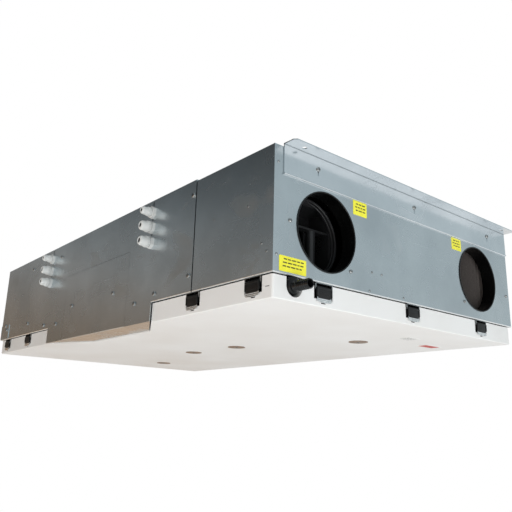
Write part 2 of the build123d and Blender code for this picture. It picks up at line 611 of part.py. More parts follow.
def foam_block():
    """The whole lining as one block: outside shape less the air chambers, seats and holes."""
    skin = SHEET + FOAM_FIT
    foam = box(X_L + skin, X_R - skin, Y_F + skin, Y_B - skin, FOAM_BOTTOM, FOAM_TOP)
    for sign_x in (-1, 1):
        for sign_y in (-1, 1):
            foam -= prism(chamber(sign_x, sign_y), FOAM_BOTTOM - 1, ROOF)
    tray_top = TRAY_FLOOR + SHELF + TRAY_FIT
    foam -= prism(core_outline(SEAT_FIT), FOAM_BOTTOM - 1, ROOF)
    foam -= prism(core_outline(TRAY_GROW + TRAY_FIT), FOAM_BOTTOM - 1, tray_top)
    foam -= ebox_room(ROOM_FIT, X_L - 1)
    foam -= box(BYPASS_X0, CHAMBER_X1, CORE_Y - CORE_SIDE_L, CORE_Y + CORE_SIDE_L, BYPASS_Z0, BYPASS_Z1)
    reach = COLLAR_DEPTH + FILTER_STANDOFF
    seat_r = DUCT_R + COLLAR_WALL + COLLAR_FIT
    for x in DUCT_X:
        foam -= rod((x, Y_F - 1, DUCT_Z), (x, Y_F + reach, DUCT_Z), seat_r)
        foam -= rod((x, Y_B - reach, DUCT_Z), (x, Y_B + 1, DUCT_Z), seat_r)
    x, room = X_L + DRAIN_X, SPOUT_HALF + TRAY_FIT
    foam -= box(x - room, x + room, Y_F, Y_F + RETURN + RUN_SIDE, FOAM_BOTTOM - 1, tray_top)
    return foam - actuator_box(ROOM_FIT)


def foam_liner():
    """The lining as it is fitted: a roof slab, the two end walls and the blocks between them."""
    foam = foam_block()
    front, rear = Y_F + SHEET + FOAM, Y_B - SHEET - FOAM
    roof = foam & box(X_L, X_R, Y_F, Y_B, ROOF, FOAM_TOP)
    ends = [foam & box(X_L, X_R, Y_F, front, FOAM_BOTTOM, ROOF),
            foam & box(X_L, X_R, rear, Y_B, FOAM_BOTTOM, ROOF)]
    blocks = [roof, *ends]
    cuts = (front, Y_F + EBOX_WALL0, Y_F + EBOX_WALL1, rear)
    for y0, y1 in zip(cuts, cuts[1:]):
        between = foam & box(X_L, X_R, y0, y1, FOAM_BOTTOM, ROOF)
        blocks += between.solids()
    return blocks


# ---------------------------------------------------------------- exchanger and filters
CAP_T = 4.0  # end cap thickness
CORE_TOP = ROOF - 0.5


def heat_exchanger():
    """Counterflow plate pack, one closed block between its end caps."""
    return prism(core_outline(0), CORE_FLOOR + CAP_T, CORE_TOP - CAP_T)


def core_end_caps():
    """Plastic end caps above and below the plate pack."""
    return [prism(core_outline(0), CORE_FLOOR, CORE_FLOOR + CAP_T),
            prism(core_outline(0), CORE_TOP - CAP_T, CORE_TOP)]


FILTER_X0 = CORE_X + WEB + FILTER_FIT
FILTER_X1 = CHAMBER_X1 - FILTER_FIT
FILTER_Y0 = COLLAR_END + FILTER_STANDOFF
FILTER_Z0 = FOAM_BOTTOM
FILTER_Z1 = ROOF - FILTER_FIT


def filter_frame(x0, x1):
    """Stiff frame round the filter."""
    y1 = FILTER_Y0 + FILTER_T
    frame = box(x0, x1, FILTER_Y0, y1, FILTER_Z0, FILTER_Z1)
    window = box(x0 + FRAME_W, x1 - FRAME_W, FILTER_Y0 - 1, y1 + 1, FILTER_Z0 + FRAME_W, FILTER_Z1 - FRAME_W)
    return frame - window


def filter_media(x0, x1):
    """Pleated medium: one folded sheet that zigzags across the frame."""
    gap = FRAME_W + MEDIA_FIT
    start, width = x0 + gap + MEDIA_END, x1 - x0 - 2 * (gap + MEDIA_END)
    pleats = max(2, round(width / PLEAT_PITCH))
    pitch = width / pleats
    near, far = FILTER_Y0 + PLEAT_IN, FILTER_Y0 + FILTER_T - PLEAT_IN - PLEAT_FOLD
    front = [(start + i * pitch / 2, near if i % 2 == 0 else far) for i in range(2 * pleats + 1)]
    back = [(x, y + PLEAT_FOLD) for x, y in reversed(front)]
    return prism(front + back, FILTER_Z0 + gap, FILTER_Z1 - gap)


# ---------------------------------------------------------------- fans
FAN_Y = Y_F + FAN_IN
SCROLL_MOUTH = COLLAR_END + RING_L
SCROLL_FRONT = FAN_Y - SCROLL_R
MOUTH_HALF = 58.0
FAN_X = DUCT_X[0] - MOUTH_HALF + SCROLL_R
SCROLL_Z1 = DUCT_Z + SCROLL_H / 2
SCROLL_Z0 = DUCT_Z - SCROLL_H / 2
INLET_R = FAN_R - 18.0
IMPELLER_Z1 = SCROLL_Z1 - 22.0
IMPELLER_Z0 = IMPELLER_Z1 - FAN_H
POST_IN, POST_OUT, POST_R = 15.0, 34.0, 10.0  # guard post behind the mouth, off its middle
VANE_W, VANE_T, VANE_UP = 20.0, 4.0, 28.0  # flat vane over the post: above the duct's axis
HANGER_R, HANGER_REACH, HANGER_ANGLES = 6.0, 60.0, (40, 160, 280)
CUP_Z0 = IMPELLER_Z1 - 34.0  # rotor cup's underside
CUP_R, CUP_WALL, CUP_FLOOR = MOTOR_R + 1.5, 3.0, 4.0
BACK_DROP, BACK_T = 3.0, 3.0
HUB_R, HUB_L = 10.0, 8.0
RING_H = 4.0
BLADE_W, BLADE_T, BLADE_SET = 16.0, 1.4, 28.0  # blade width, thickness and angle


def scroll_plan(shrink, mouth):
    """Spiral casing in plan: a round drum with a straight mouth along one side."""
    left = DUCT_X[0] - MOUTH_HALF + shrink
    right = DUCT_X[0] + MOUTH_HALF - shrink
    z0, z1 = SCROLL_Z0 + shrink, SCROLL_Z1 - shrink
    drum = rod((FAN_X, FAN_Y, z0), (FAN_X, FAN_Y, z1), SCROLL_R - shrink)
    return drum + box(left, right, mouth, FAN_Y, z0, z1)


def mouth_bands():
    """Two rounded bands in front of the mouth box, with a groove between them."""
    x, start = DUCT_X[0], SCROLL_MOUTH - RING_BAND
    outer, inner = DUCT_R + RING_WALL, DUCT_R + RING_WALL / 2
    bands = rod((x, start - RING_GAP, DUCT_Z), (x, start, DUCT_Z), outer)
    bands -= rod((x, start - RING_GAP - 1, DUCT_Z), (x, start + 1, DUCT_Z), inner)
    for y0 in (start, start - RING_GAP - RING_BAND):
        band = rod((x, y0, DUCT_Z), (x, y0 + RING_BAND, DUCT_Z), outer)
        band -= rod((x, y0 - 1, DUCT_Z), (x, y0 + RING_BAND + 1, DUCT_Z), DUCT_R)
        edges = band.edges().filter_by(GeomType.CIRCLE).group_by(SortBy.RADIUS)[0]
        bands += fillet(edges, RING_EDGE_R)
    return bands


def mouth_box(half, y0, y1):
    """A square box on the duct's axis."""
    x = DUCT_X[0]
    return box(x - half, x + half, y0, y1, DUCT_Z - half, DUCT_Z + half)


def fan_mouth():
    """Moulding between the duct collar and the drum: bands, square box, guard post and vane."""
    x, y, wall = DUCT_X[0], SCROLL_MOUTH + POST_IN, SCROLL_WALL
    mouth = mouth_box(MOUTH_OUT, SCROLL_MOUTH, SCROLL_FRONT)
    mouth += rod((x, SCROLL_MOUTH, DUCT_Z), (x, SCROLL_MOUTH + wall, DUCT_Z), DUCT_R + RING_WALL)
    mouth -= mouth_box(MOUTH_OUT - wall, SCROLL_MOUTH - 1, SCROLL_FRONT - wall)
    mouth -= box(x - MOUTH_HALF + wall, x + MOUTH_HALF - wall, SCROLL_FRONT - 2 * wall, SCROLL_FRONT + 1,
                 SCROLL_Z0 + wall, SCROLL_Z1 - wall)
    inside, vane_z = MOUTH_OUT - wall / 2, DUCT_Z + VANE_UP
    mouth += rod((x + POST_OUT, y, DUCT_Z - inside), (x + POST_OUT, y, vane_z), POST_R)
    mouth += box(x - inside, x + inside, y - VANE_W / 2, y + VANE_W / 2,
                 vane_z - VANE_T / 2, vane_z + VANE_T / 2)
    return mouth + mouth_bands()


def fan_drum():
    """Scroll with its inlet underneath and three hangers up to the foam's ceiling."""
    drum = scroll_plan(0, SCROLL_FRONT) - scroll_plan(SCROLL_WALL, SCROLL_FRONT - 1)
    drum -= rod((FAN_X, FAN_Y, SCROLL_Z0 - 1), (FAN_X, FAN_Y, SCROLL_Z0 + SCROLL_WALL + 1), INLET_R)
    for angle in HANGER_ANGLES:
        x = FAN_X + HANGER_REACH * math.cos(math.radians(angle))
        y = FAN_Y + HANGER_REACH * math.sin(math.radians(angle))
        drum += rod((x, y, SCROLL_Z1 - 1), (x, y, ROOF), HANGER_R)
    return drum


def fan_housing():
    """The housing's two mouldings: the drum, and the mouth that joins it to the duct collar."""
    return [fan_drum(), fan_mouth()]


def fan_motor():
    """Motor stator under the scroll's roof, with the fixed shaft that the impeller turns on."""
    top = SCROLL_Z1 - SCROLL_WALL
    motor = rod((FAN_X, FAN_Y, CUP_Z0 + CUP_FLOOR + 1), (FAN_X, FAN_Y, top), MOTOR_R)
    return motor + rod((FAN_X, FAN_Y, CUP_Z0 - HUB_L - 2), (FAN_X, FAN_Y, top - 1), SHAFT_R)


def disc(z0, z1, radius):
    """A round plate or bar on the fan's axis."""
    return rod((FAN_X, FAN_Y, z0), (FAN_X, FAN_Y, z1), radius)


def impeller():
    """Drum impeller: rotor cup round the motor, back plate, hub, blades and two rings."""
    top = IMPELLER_Z1
    wheel = disc(CUP_Z0, top - BACK_DROP, CUP_R + CUP_WALL) + disc(CUP_Z0 - BACK_T, CUP_Z0, FAN_R)
    wheel -= disc(CUP_Z0 + CUP_FLOOR, top, CUP_R)
    wheel += disc(CUP_Z0 - HUB_L, CUP_Z0, HUB_R)
    wheel -= disc(CUP_Z0 - HUB_L - 1, top, SHAFT_R + SHAFT_FIT)
    for z in (IMPELLER_Z0, top - RING_H):
        wheel += disc(z, z + RING_H, FAN_R) - disc(z - 1, z + RING_H + 1, FAN_R - BLADE_W)
    for i in range(FAN_BLADES):
        blade = Pos(FAN_R - BLADE_W / 2 - 0.5, 0, 0) * Rot(0, 0, BLADE_SET) * Box(BLADE_W, BLADE_T, FAN_H - 2)
        blade = Rot(0, 0, i * 360 / FAN_BLADES) * blade
        wheel += Pos(FAN_X, FAN_Y, (IMPELLER_Z0 + IMPELLER_Z1) / 2) * blade
    return wheel


# ---------------------------------------------------------------- bypass damper
DAMPER_X = (BYPASS_X0 + CHAMBER_X1) / 2
DAMPER_HALF = (CHAMBER_X1 - BYPASS_X0) / 2 - 2.0
DAMPER_STUB = 8.0  # shaft above the bypass, in the actuator
ACTUATOR = (50.0, 90.0, 18.0)
ACTUATOR_R = 6.0


def actuator_box(grow):
    """The actuator's place in the foam, grown by a clearance."""
    w, length, h = (v + 2 * grow for v in ACTUATOR)
    return Pos(DAMPER_X, CORE_Y, BYPASS_Z1 + ACTUATOR[2] / 2) * Box(w, length, h)


def damper_blade():
    """Bypass damper blade on an upright shaft; closed across the bypass at rest."""
    blade = Pos(DAMPER_X, CORE_Y, DUCT_Z) * Box(2 * DAMPER_HALF, DAMPER_T, DAMPER_H)
    foot = (DAMPER_X, CORE_Y, DUCT_Z - DAMPER_H / 2)
    return blade + rod(foot, (DAMPER_X, CORE_Y, BYPASS_Z1 + DAMPER_STUB), SHAFT_R)


def damper_actuator():
    """Damper motor let into the foam above the blade, bored for the blade's shaft."""
    body = actuator_box(0)
    body = fillet(body.edges().filter_by(Axis.Z), ACTUATOR_R)
    mouth, end = BYPASS_Z1 - 1, BYPASS_Z1 + DAMPER_STUB + 2
    return body - rod((DAMPER_X, CORE_Y, mouth), (DAMPER_X, CORE_Y, end), SHAFT_R + SHAFT_FIT)


# ---------------------------------------------------------------- side screws and labels
def side_face(y):
    """Outer face of the left side at a distance from the front end."""
    return X_L if y < SEAM_Y else COVER_X


SCREW_R, SCREW_H = 5.6, 3.6  # pan heads on the sides
END_SCREW_R, END_SCREW_H = 4.2, 2.4  # smaller ones on the end plates
LEFT_SCREWS = ((261, 32), (264, 210), (602.7, 198), (848.7, 198), (952.6, 238), (487.7, 240),
               (399.5, 229), (1046.4, 232), (1186.4, 212), (1186.5, 33), (959, 35))
PLATE_SCREWS = ((1393, 199), (1379, 214))
RIGHT_SCREWS = ((60, 30), (60, 210), (400, 30), (400, 210), (717, 30), (717, 210),
                (1035, 30), (1035, 210), (1375, 30), (1375, 210))
END_SCREWS = ((206, 210), (612, 210), (811.5, 167), (40.7, 143))
RIVET_R, RIVET_H = 2.6, 1.3
LEFT_RIVETS = ((182, 107), (73, 107), (1267, 107), (31.5, 189), (17.2, 206), (1345, 111))
END_RIVETS = ((10.2, 35), (8.6, 213), (271, 200), (301.6, 200), (262, 240), (373.5, 238))


def side_screws():
    """Pan-head screws all round the casing."""
    heads = []
    for y, drop in LEFT_SCREWS:
        heads.append(pan_head((side_face(y), along(y), below(drop)), (-1, 0, 0), SCREW_R, SCREW_H))
    for y, drop in PLATE_SCREWS:
        heads.append(pan_head((COVER_X - SHEET, along(y), below(drop)), (-1, 0, 0), SCREW_R, SCREW_H))
    for y, drop in RIGHT_SCREWS:
        heads.append(pan_head((X_R, along(y), below(drop)), (1, 0, 0), SCREW_R, SCREW_H))
    for x, drop in END_SCREWS:
        head = pan_head((across(x), Y_F, below(drop)), (0, -1, 0), END_SCREW_R, END_SCREW_H)
        heads += [head, mirrored(head)]
    return heads


def rivets():
    """Small blind rivets that join the sheets."""
    domes = []
    for y, drop in LEFT_RIVETS:
        domes.append(((side_face(y), along(y), below(drop)), (-1, 0, 0)))
    for x, drop in END_RIVETS:
        domes.append(((across(x), Y_F, below(drop)), (0, -1, 0)))
    heads = []
    for place, direction in domes:
        head = Cylinder(RIVET_R, RIVET_H, align=(Align.CENTER, Align.CENTER, Align.MIN))
        head = fillet(head.edges().sort_by(Axis.Z)[-1], RIVET_H * HEAD_ROUND)
        heads.append(Plane(origin=place, z_dir=direction) * head)
    return heads


FRONT_LABELS = ((15, 82, 213, 242), (216, 258, 57, 87), (571, 611, 58, 87))
LABEL_T = 0.4
LABEL_R = 1.5


def yellow_labels():
    """Blank adhesive labels on the front end."""
    plates = []
    for x0, x1, top, bottom in FRONT_LABELS:
        label = box(across(x0), across(x1), Y_F - LABEL_T, Y_F, below(bottom), below(top))
        plates.append(fillet(label.edges().filter_by(Axis.Y), LABEL_R))
    return plates


# ---------------------------------------------------------------- service panel
PANEL_X0, PANEL_X1 = X_L + PANEL_INSET, X_R - PANEL_INSET
PANEL_Y0, PANEL_Y1 = Y_F + PANEL_INSET, Y_B - PANEL_INSET
PANEL_TOP = Z_B - GASKET_T
POCKET_HALF = LATCH_W / 2 + 2.0
HOOK_NOTCH = 6.5  # half width of the notch under a pocket
PANEL_MIN_R = 0.5
POCKET_IN = 13.0  # panel side to the back of a latch pocket
POCKET_DROP = LATCH_PIVOT_DROP + LATCH_LEVER_H + 1.5
SLIT_Y0, SLIT_Y1 = 14.0, 25.0  # short slit in the pan's left side, from the front end
SLIT_Z, SLIT_H = (Z_PANEL + PANEL_TOP) / 2, 1.6


def latch_places():
    """Name, point on the casing face and outward direction of each latch."""
    places = []
    for i, x in enumerate(FRONT_LATCHES):
        places.append((f"latch_front_{i + 1}", (X_L + x, Y_F), (0, -1)))
        places.append((f"latch_rear_{i + 1}", (X_L + x, Y_B), (0, 1)))
    for i, y in enumerate(SIDE_LATCHES):
        places.append((f"latch_left_{i + 1}", (X_L, Y_F + y), (-1, 0)))
        places.append((f"latch_right_{i + 1}", (X_R, Y_F + y), (1, 0)))
    return places


def at_latch(shape, point, outward):
    """Move a piece drawn at a front latch (face at Y=0, outward -Y) to its own place."""
    turn = math.degrees(math.atan2(outward[1], outward[0])) + 90
    return Pos(point[0], point[1], Z_B) * Rot(0, 0, turn) * shape


def panel_plan(inset):
    """Plan of the service panel, cut away beside the electrical box."""
    outline = box(PANEL_X0 + inset, PANEL_X1 - inset, PANEL_Y0 + inset, PANEL_Y1 - inset, Z_PANEL, PANEL_TOP)
    outline = fillet(outline.edges().filter_by(Axis.Z), max(PANEL_CORNER_R - inset, PANEL_MIN_R))
    outline = fillet(outline.edges().group_by(Axis.Z)[0], max(PANEL_EDGE_R - inset, PANEL_MIN_R))
    notch = prism(ebox_outline(PANEL_CLEAR + inset, X_L - 2 * PANEL_INSET), Z_PANEL - 1, PANEL_TOP + 1)
    x, y = X_L + DRAIN_X, Y_F + DRAIN_Y
    keep = DRAIN_R + PANEL_CLEAR + inset
    low = Z_B - DRAIN_DROP
    drain = rod((x, Y_F - 1, low), (x, y, low), keep) + box(x - keep, x + keep, Y_F - 1, y, low, Z_B)
    drain += rod((x, y, low), (x, y, Z_B), keep) + Pos(x, y, low) * Sphere(keep)
    return outline - notch - drain


def latch_pocket():
    """Space in the panel's side for one latch: a wide pocket, and a notch for the hook below it."""
    pocket = box(-POCKET_HALF, POCKET_HALF, -1, PANEL_INSET + POCKET_IN, -POCKET_DROP, 1)
    low = -LATCH_PIVOT_DROP - LATCH_REACH - 1.5
    return pocket + box(-HOOK_NOTCH, HOOK_NOTCH, -1, PANEL_INSET + 6, low, -POCKET_DROP)


def all_pockets():
    """Every latch's pocket, in its own place."""
    return [at_latch(latch_pocket(), point, out) for _, point, out in latch_places()]


def bottom_panel():
    """Painted steel pan of the service panel, with latch pockets and a rim."""
    pan = panel_plan(0) - Pos(0, 0, PANEL_SHEET) * panel_plan(PANEL_SHEET)
    for pocket in all_pockets():
        pan -= pocket
    pan -= box(PANEL_X0 - 1, PANEL_X0 + PANEL_SHEET + 1, Y_F + SLIT_Y0, Y_F + SLIT_Y1,
               SLIT_Z, SLIT_Z + SLIT_H)
    for place in disc_places():
        pan -= rod((*place, Z_PANEL - 1), (*place, Z_PANEL + PANEL_SHEET + 1), DISC_HOLE)
    return pan


def panel_foam():
    """Foam slab that fills the pan and insulates it."""
    slab = Pos(0, 0, PANEL_SHEET) * panel_plan(PANEL_SHEET)
    slab = slab & box(X_L, X_R, Y_F, Y_B, Z_PANEL, PANEL_TOP)
    for pocket in all_pockets():
        slab -= pocket
    return slab


def panel_gasket():
    """Rubber strip round the panel's top, inside the latches."""
    inset = POCKET_IN + 0.5
    ring = Pos(0, 0, GASKET_T) * (panel_plan(inset) - panel_plan(inset + GASKET_W))
    return ring & box(X_L, X_R, Y_F, Y_B, PANEL_TOP, Z_B - SIDE_GAP)


DISC_PLACES = ((537, 0.18676), (405, 0.42648), (405, 0.57840), (533, 0.84739))  # Y as a share of the length
DISC_R, DISC_T = 25.0, 1.2
DISC_HOLE = 5.0
DISH = 0.8  # depth of the dish


def disc_places():
    """World places of the washers, spread over the panel's length."""
    return [(across(x), Y_F + share * CASE_L) for x, share in DISC_PLACES]


def panel_discs():
    """Dished steel washers that hold the foam to the pan."""
    discs = []
    for place in disc_places():
        disc = rod((*place, Z_PANEL - DISC_T), (*place, Z_PANEL), DISC_R)
        dish = Pos(*place, Z_PANEL - DISC_T) * Cone(DISC_R - 9, DISC_R - 3, DISH)
        discs.append(disc - dish)
    return discs


def disc_screws():
    """Countersunk-looking screws through the middle of each washer."""
    heads = []
    for place in disc_places():
        heads.append(pan_head((*place, Z_PANEL - DISH), (0, 0, -1), END_SCREW_R, DISC_T))
    return heads


PANEL_LABELS = ((545, 595, 115, 152), (690, 760, 166, 200))


def panel_labels():
    """Two blank adhesive labels under the panel."""
    plates = []
    for x0, x1, y0, y1 in PANEL_LABELS:
        label = box(across(x0), across(x1), along(y0), along(y1), Z_PANEL - LABEL_T, Z_PANEL)
        plates.append(fillet(label.edges().filter_by(Axis.Z), LABEL_R))
    return plates


# ---------------------------------------------------------------- draw latches
EAR_T = 2.0
EAR_HALF = 4.0  # half width of an ear
EAR_BELOW = 3.5  # ear below the pin's axis
LEVER_ROUND = 1.5
LEVER_STEP = 4.0  # the lever's lower end is this much narrower each side
LEVER_STEP_H = 4.0
BARREL_R = 4.0  # boss round the pin
HOOK_HALF = 18.5
HOOK_SIDE = 6.0  # straight part of the hook's sides
HOOK_LIP_HALF = 5.0
LATCH_AXIS = (LATCH_PIVOT_IN, -LATCH_PIVOT_DROP)  # in from the casing face, down from the casing


def latch_bracket():
    """Folded bracket screwed under the casing flange, with two ears for the pin."""
    half = LATCH_W / 2
    bracket = box(-half, half, 1.0, PANEL_INSET + POCKET_IN - 4, -EAR_T, 0)
    low = -LATCH_PIVOT_DROP - EAR_BELOW
    for x0 in (-half, half - EAR_T):
        bracket += box(x0, x0 + EAR_T, LATCH_PIVOT_IN - EAR_HALF, LATCH_PIVOT_IN + EAR_HALF, low, -EAR_T / 2)
    return bracket - rod((-half - 1, *LATCH_AXIS), (half + 1, *LATCH_AXIS), LATCH_PIN_R)


def latch_pin():
    """Steel pin through the bracket's ears and the lever."""
    half = LATCH_W / 2
    return rod((-half, *LATCH_AXIS), (half, *LATCH_AXIS), LATCH_PIN_R)


def latch_lever():
    """Moulded lever that turns on the pin, stepped in at its lower end."""
    half = LATCH_LEVER_W / 2
    back = LATCH_PIVOT_IN - 1.0
    face = back - LATCH_LEVER_T
    low = -LATCH_PIVOT_DROP - LATCH_LEVER_H
    lever = box(-half, half, face, back, low + LEVER_STEP_H, 1.0 - LATCH_PIVOT_DROP)
    lever = fillet(lever.edges().filter_by(Axis.X).sort_by(Axis.Y)[:2], LEVER_ROUND)
    lever += box(LEVER_STEP - half, half - LEVER_STEP, face + 1, back, low, low + LEVER_STEP_H + 1)
    lever += rod((-half, *LATCH_AXIS), (half, *LATCH_AXIS), BARREL_R)
    return lever - rod((-half - 1, *LATCH_AXIS), (half + 1, *LATCH_AXIS), LATCH_PIN_R + LATCH_PIN_FIT)


def latch_hook():
    """Steel hook under the lever: a curved tongue whose lip enters the panel's side."""
    low = -LATCH_PIVOT_DROP - LATCH_LEVER_H
    lip = -LATCH_PIVOT_DROP - LATCH_REACH
    y0 = PANEL_INSET - 1.0 - LATCH_HOOK_T
    face = Plane(origin=(0, y0, 0), x_dir=(1, 0, 0), z_dir=(0, -1, 0))
    left, right = (-HOOK_HALF, low - HOOK_SIDE), (HOOK_HALF, low - HOOK_SIDE)
    outline = Polyline((-HOOK_HALF, low), left) + ThreePointArc(left, (0, lip - 1), right)
    outline += Polyline(right, (HOOK_HALF, low), (-HOOK_HALF, low))
    tongue = extrude(face * make_face(outline), -LATCH_HOOK_T)
    return tongue + box(-HOOK_LIP_HALF, HOOK_LIP_HALF, y0, PANEL_INSET + 4, lip, lip + LATCH_HOOK_T)


# ---------------------------------------------------------------- write every node
def main():
    os.makedirs("parts", exist_ok=True)
    save("front_plate", end_plate() - drain_hole())
    save("rear_plate", rear_plate())
    save("right_side", right_side())
    save("left_front_side", left_front_side())
    save("left_cover", left_cover())
    save("top_sheet", top_sheet())
    save("corner_plate", corner_plate())

    save("ebox_tray", ebox_tray())
    save("electrical_cover", electrical_cover())
    save("control_board", control_board())
    save("board_components", *board_components())
    save("terminal_blocks", *terminal_blocks())
    save("cable_glands", *[gland_body(y, z) for y, z in gland_places()])
    save("gland_nuts", *[gland_nut(y, z) for y, z in gland_places()])
    save("gland_seals", *[gland_seal(y, z) for y, z in gland_places()])

    bracket = hanging_bracket()
    save("front_bracket", bracket)
    save("rear_bracket", mirrored(bracket))
    save("bracket_screws", *bracket_screws())

    collars = [duct_collar(x) for x in DUCT_X]
    save("duct_collars", *collars, *[mirrored(collar) for collar in collars])
    save("drain_elbow", drain_elbow())
    save("drip_tray", drip_tray())

    save("foam_liner", *foam_liner())
    save("heat_exchanger", heat_exchanger())
    save("core_end_caps", *core_end_caps())
    extract = [filter_frame(FILTER_X0, FILTER_X1), filter_media(FILTER_X0, FILTER_X1)]
    save("extract_filter", *extract)
    intake_x0, intake_x1 = CHAMBER_X0 + 1.0, CORE_X - WEB - 1.0
    intake = [filter_frame(intake_x0, intake_x1), filter_media(intake_x0, intake_x1)]
    save("intake_filter", *[mirrored(piece) for piece in intake])

    for name, place in (("supply", lambda s: s), ("exhaust", turned)):
        save(name + "_fan_housing", *[place(piece) for piece in fan_housing()])
        save(name + "_motor", place(fan_motor()))
        save(name + "_impeller", place(impeller()))
    save("damper_blade", damper_blade())
    save("damper_actuator", damper_actuator())

    save("side_screws", *side_screws())
    save("rivets", *rivets())
    save("yellow_labels", *yellow_labels())

    save("bottom_panel", bottom_panel())
    save("panel_foam", panel_foam())
    save("panel_gasket", panel_gasket())
    save("panel_discs", *panel_discs())
    save("disc_screws", *disc_screws())
    save("panel_labels", *panel_labels())

    places = latch_places()
    save("latch_brackets", *[at_latch(latch_bracket(), p, out) for _, p, out in places])
    save("latch_pins", *[at_latch(latch_pin(), p, out) for _, p, out in places])
    for name, point, out in places:
        save(name, at_latch(latch_lever(), point, out), at_latch(latch_hook(), point, out))


main()
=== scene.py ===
"""Looks of a ceiling-hung heat recovery unit: galvanised casing on two hanging rails, black duct
collars, an electrical box in its left side and a white service panel held up by draw latches.

Metres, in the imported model's own frame: +X across the duct end, +Y along the unit, +Z up.
"""
import json
import math
import random

import bmesh
import bpy
from mathutils import Matrix, Vector


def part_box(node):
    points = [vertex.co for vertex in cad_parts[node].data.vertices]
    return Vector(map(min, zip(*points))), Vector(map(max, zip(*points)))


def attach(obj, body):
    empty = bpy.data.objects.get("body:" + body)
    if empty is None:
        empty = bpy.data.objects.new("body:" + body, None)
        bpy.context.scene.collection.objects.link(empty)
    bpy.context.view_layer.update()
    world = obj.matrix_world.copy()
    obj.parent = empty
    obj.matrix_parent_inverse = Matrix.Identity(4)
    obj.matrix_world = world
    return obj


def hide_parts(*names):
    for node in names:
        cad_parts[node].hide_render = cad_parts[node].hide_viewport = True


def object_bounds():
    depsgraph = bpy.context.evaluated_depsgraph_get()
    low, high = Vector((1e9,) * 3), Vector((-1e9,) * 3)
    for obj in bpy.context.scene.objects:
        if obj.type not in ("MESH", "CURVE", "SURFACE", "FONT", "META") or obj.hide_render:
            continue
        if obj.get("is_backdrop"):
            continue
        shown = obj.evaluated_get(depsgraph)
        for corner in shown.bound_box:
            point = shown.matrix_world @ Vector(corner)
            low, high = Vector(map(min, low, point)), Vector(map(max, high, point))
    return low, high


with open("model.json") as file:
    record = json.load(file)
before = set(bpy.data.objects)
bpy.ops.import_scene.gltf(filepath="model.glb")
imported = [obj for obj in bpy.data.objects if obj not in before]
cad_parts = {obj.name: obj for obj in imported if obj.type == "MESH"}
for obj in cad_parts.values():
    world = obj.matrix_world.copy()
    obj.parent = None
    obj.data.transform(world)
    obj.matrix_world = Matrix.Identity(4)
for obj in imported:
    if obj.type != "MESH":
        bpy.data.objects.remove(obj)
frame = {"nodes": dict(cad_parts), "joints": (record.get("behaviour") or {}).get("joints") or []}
cad_low, cad_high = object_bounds()
nodes = frame["nodes"]
MM = 0.001


# ---------------------------------------------------------------- camera
# Seen from below and in front of the left duct, as a fitter on the floor sees the hung unit.
# The place is given from the casing's front left top corner, and the axes are the lens's own.
LENS, SENSOR = 42.54, 36.0  # millimetres
EYE = Vector((-677.6, -771.0, -505.5)) * MM
LENS_RIGHT = Vector((0.7650, -0.6436, 0.0260))
LENS_UP = Vector((-0.1918, -0.1891, 0.9631))
front_low, front_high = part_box("front_plate")
corner = Vector((front_low.x, front_low.y, front_high.z))
camera_data = bpy.data.cameras.new("camera")
camera_data.lens = LENS
camera_data.sensor_width = SENSOR
camera = bpy.data.objects.new("camera", camera_data)
bpy.context.scene.collection.objects.link(camera)
lens_turn = Matrix((LENS_RIGHT, LENS_UP, LENS_RIGHT.cross(LENS_UP))).transposed().to_4x4()
camera.matrix_world = Matrix.Translation(corner + EYE) @ lens_turn
bpy.context.scene.camera = camera
bpy.context.scene.view_settings.view_transform = "Standard"


# ---------------------------------------------------------------- studio
# A pale floor well below the unit that glows faintly, and a room that is bright towards the duct
# end and dim and brownish behind the left side. Four soft lamps: over and under the unit, before
# the duct end and to the left. The steel and paint don't mirror the lamps under it and to its left.
def linear(code):
    """An sRGB hex colour as linear RGBA."""
    parts = [int(code[i:i + 2], 16) / 255 for i in (1, 3, 5)]
    return [c / 12.92 if c <= 0.04045 else ((c + 0.055) / 1.055) ** 2.4 for c in parts] + [1.0]


def add(tree, kind, inputs, **settings):
    """Add one shader node; inputs maps a socket to a value or to another node's output."""
    node = tree.nodes.new("ShaderNode" + kind)
    for name, value in settings.items():
        setattr(node, name, value)
    for name, value in inputs.items():
        if isinstance(value, bpy.types.NodeSocket):
            tree.links.new(value, node.inputs[name])
        else:
            node.inputs[name].default_value = value
    return node


def ramp(tree, fac, stops):
    """Colour ramp through (position, colour) stops."""
    node = add(tree, "ValToRGB", {"Fac": fac})
    while len(node.color_ramp.elements) < len(stops):
        node.color_ramp.elements.new(0.5)
    for element, (position, colour) in zip(node.color_ramp.elements, stops):
        element.position = position
        element.color = linear(colour)
    return node.outputs["Color"]


world = bpy.data.worlds.new("studio")
world.use_nodes = True
bpy.context.scene.world = world
tree = world.node_tree
tree.nodes.clear()
ray = add(tree, "TexCoord", {}).outputs["Generated"]
height = add(tree, "SeparateXYZ", {"Vector": ray}).outputs["Z"]
level = add(tree, "MapRange", {"Value": height, "From Min": -0.4, "From Max": 0.6}).outputs["Result"]
DIM_WALL = ((0.0, "#F4EEE6"), (0.10, "#E0C6AC"), (0.20, "#C49E7A"), (0.34, "#A08164"), (0.46, "#77644F"),
            (0.56, "#8C7F74"), (0.63, "#979796"), (0.69, "#868B8D"), (0.77, "#4D5357"), (0.88, "#363B3D"),
            (1.0, "#2E3336"))
BRIGHT_WALL = ((0.0, "#FFFFFF"), (0.30, "#E2E4E5"), (0.42, "#CDD3D5"), (0.58, "#C3CDD0"), (0.8, "#B7C2C7"),
               (1.0, "#A6B2B7"))
BRIGHT_SIDE = (0.64, -0.77, 0.0)
dim = ramp(tree, level, DIM_WALL)
bright = ramp(tree, level, BRIGHT_WALL)
facing = add(tree, "VectorMath", {0: ray, 1: BRIGHT_SIDE}, operation="DOT_PRODUCT").outputs["Value"]
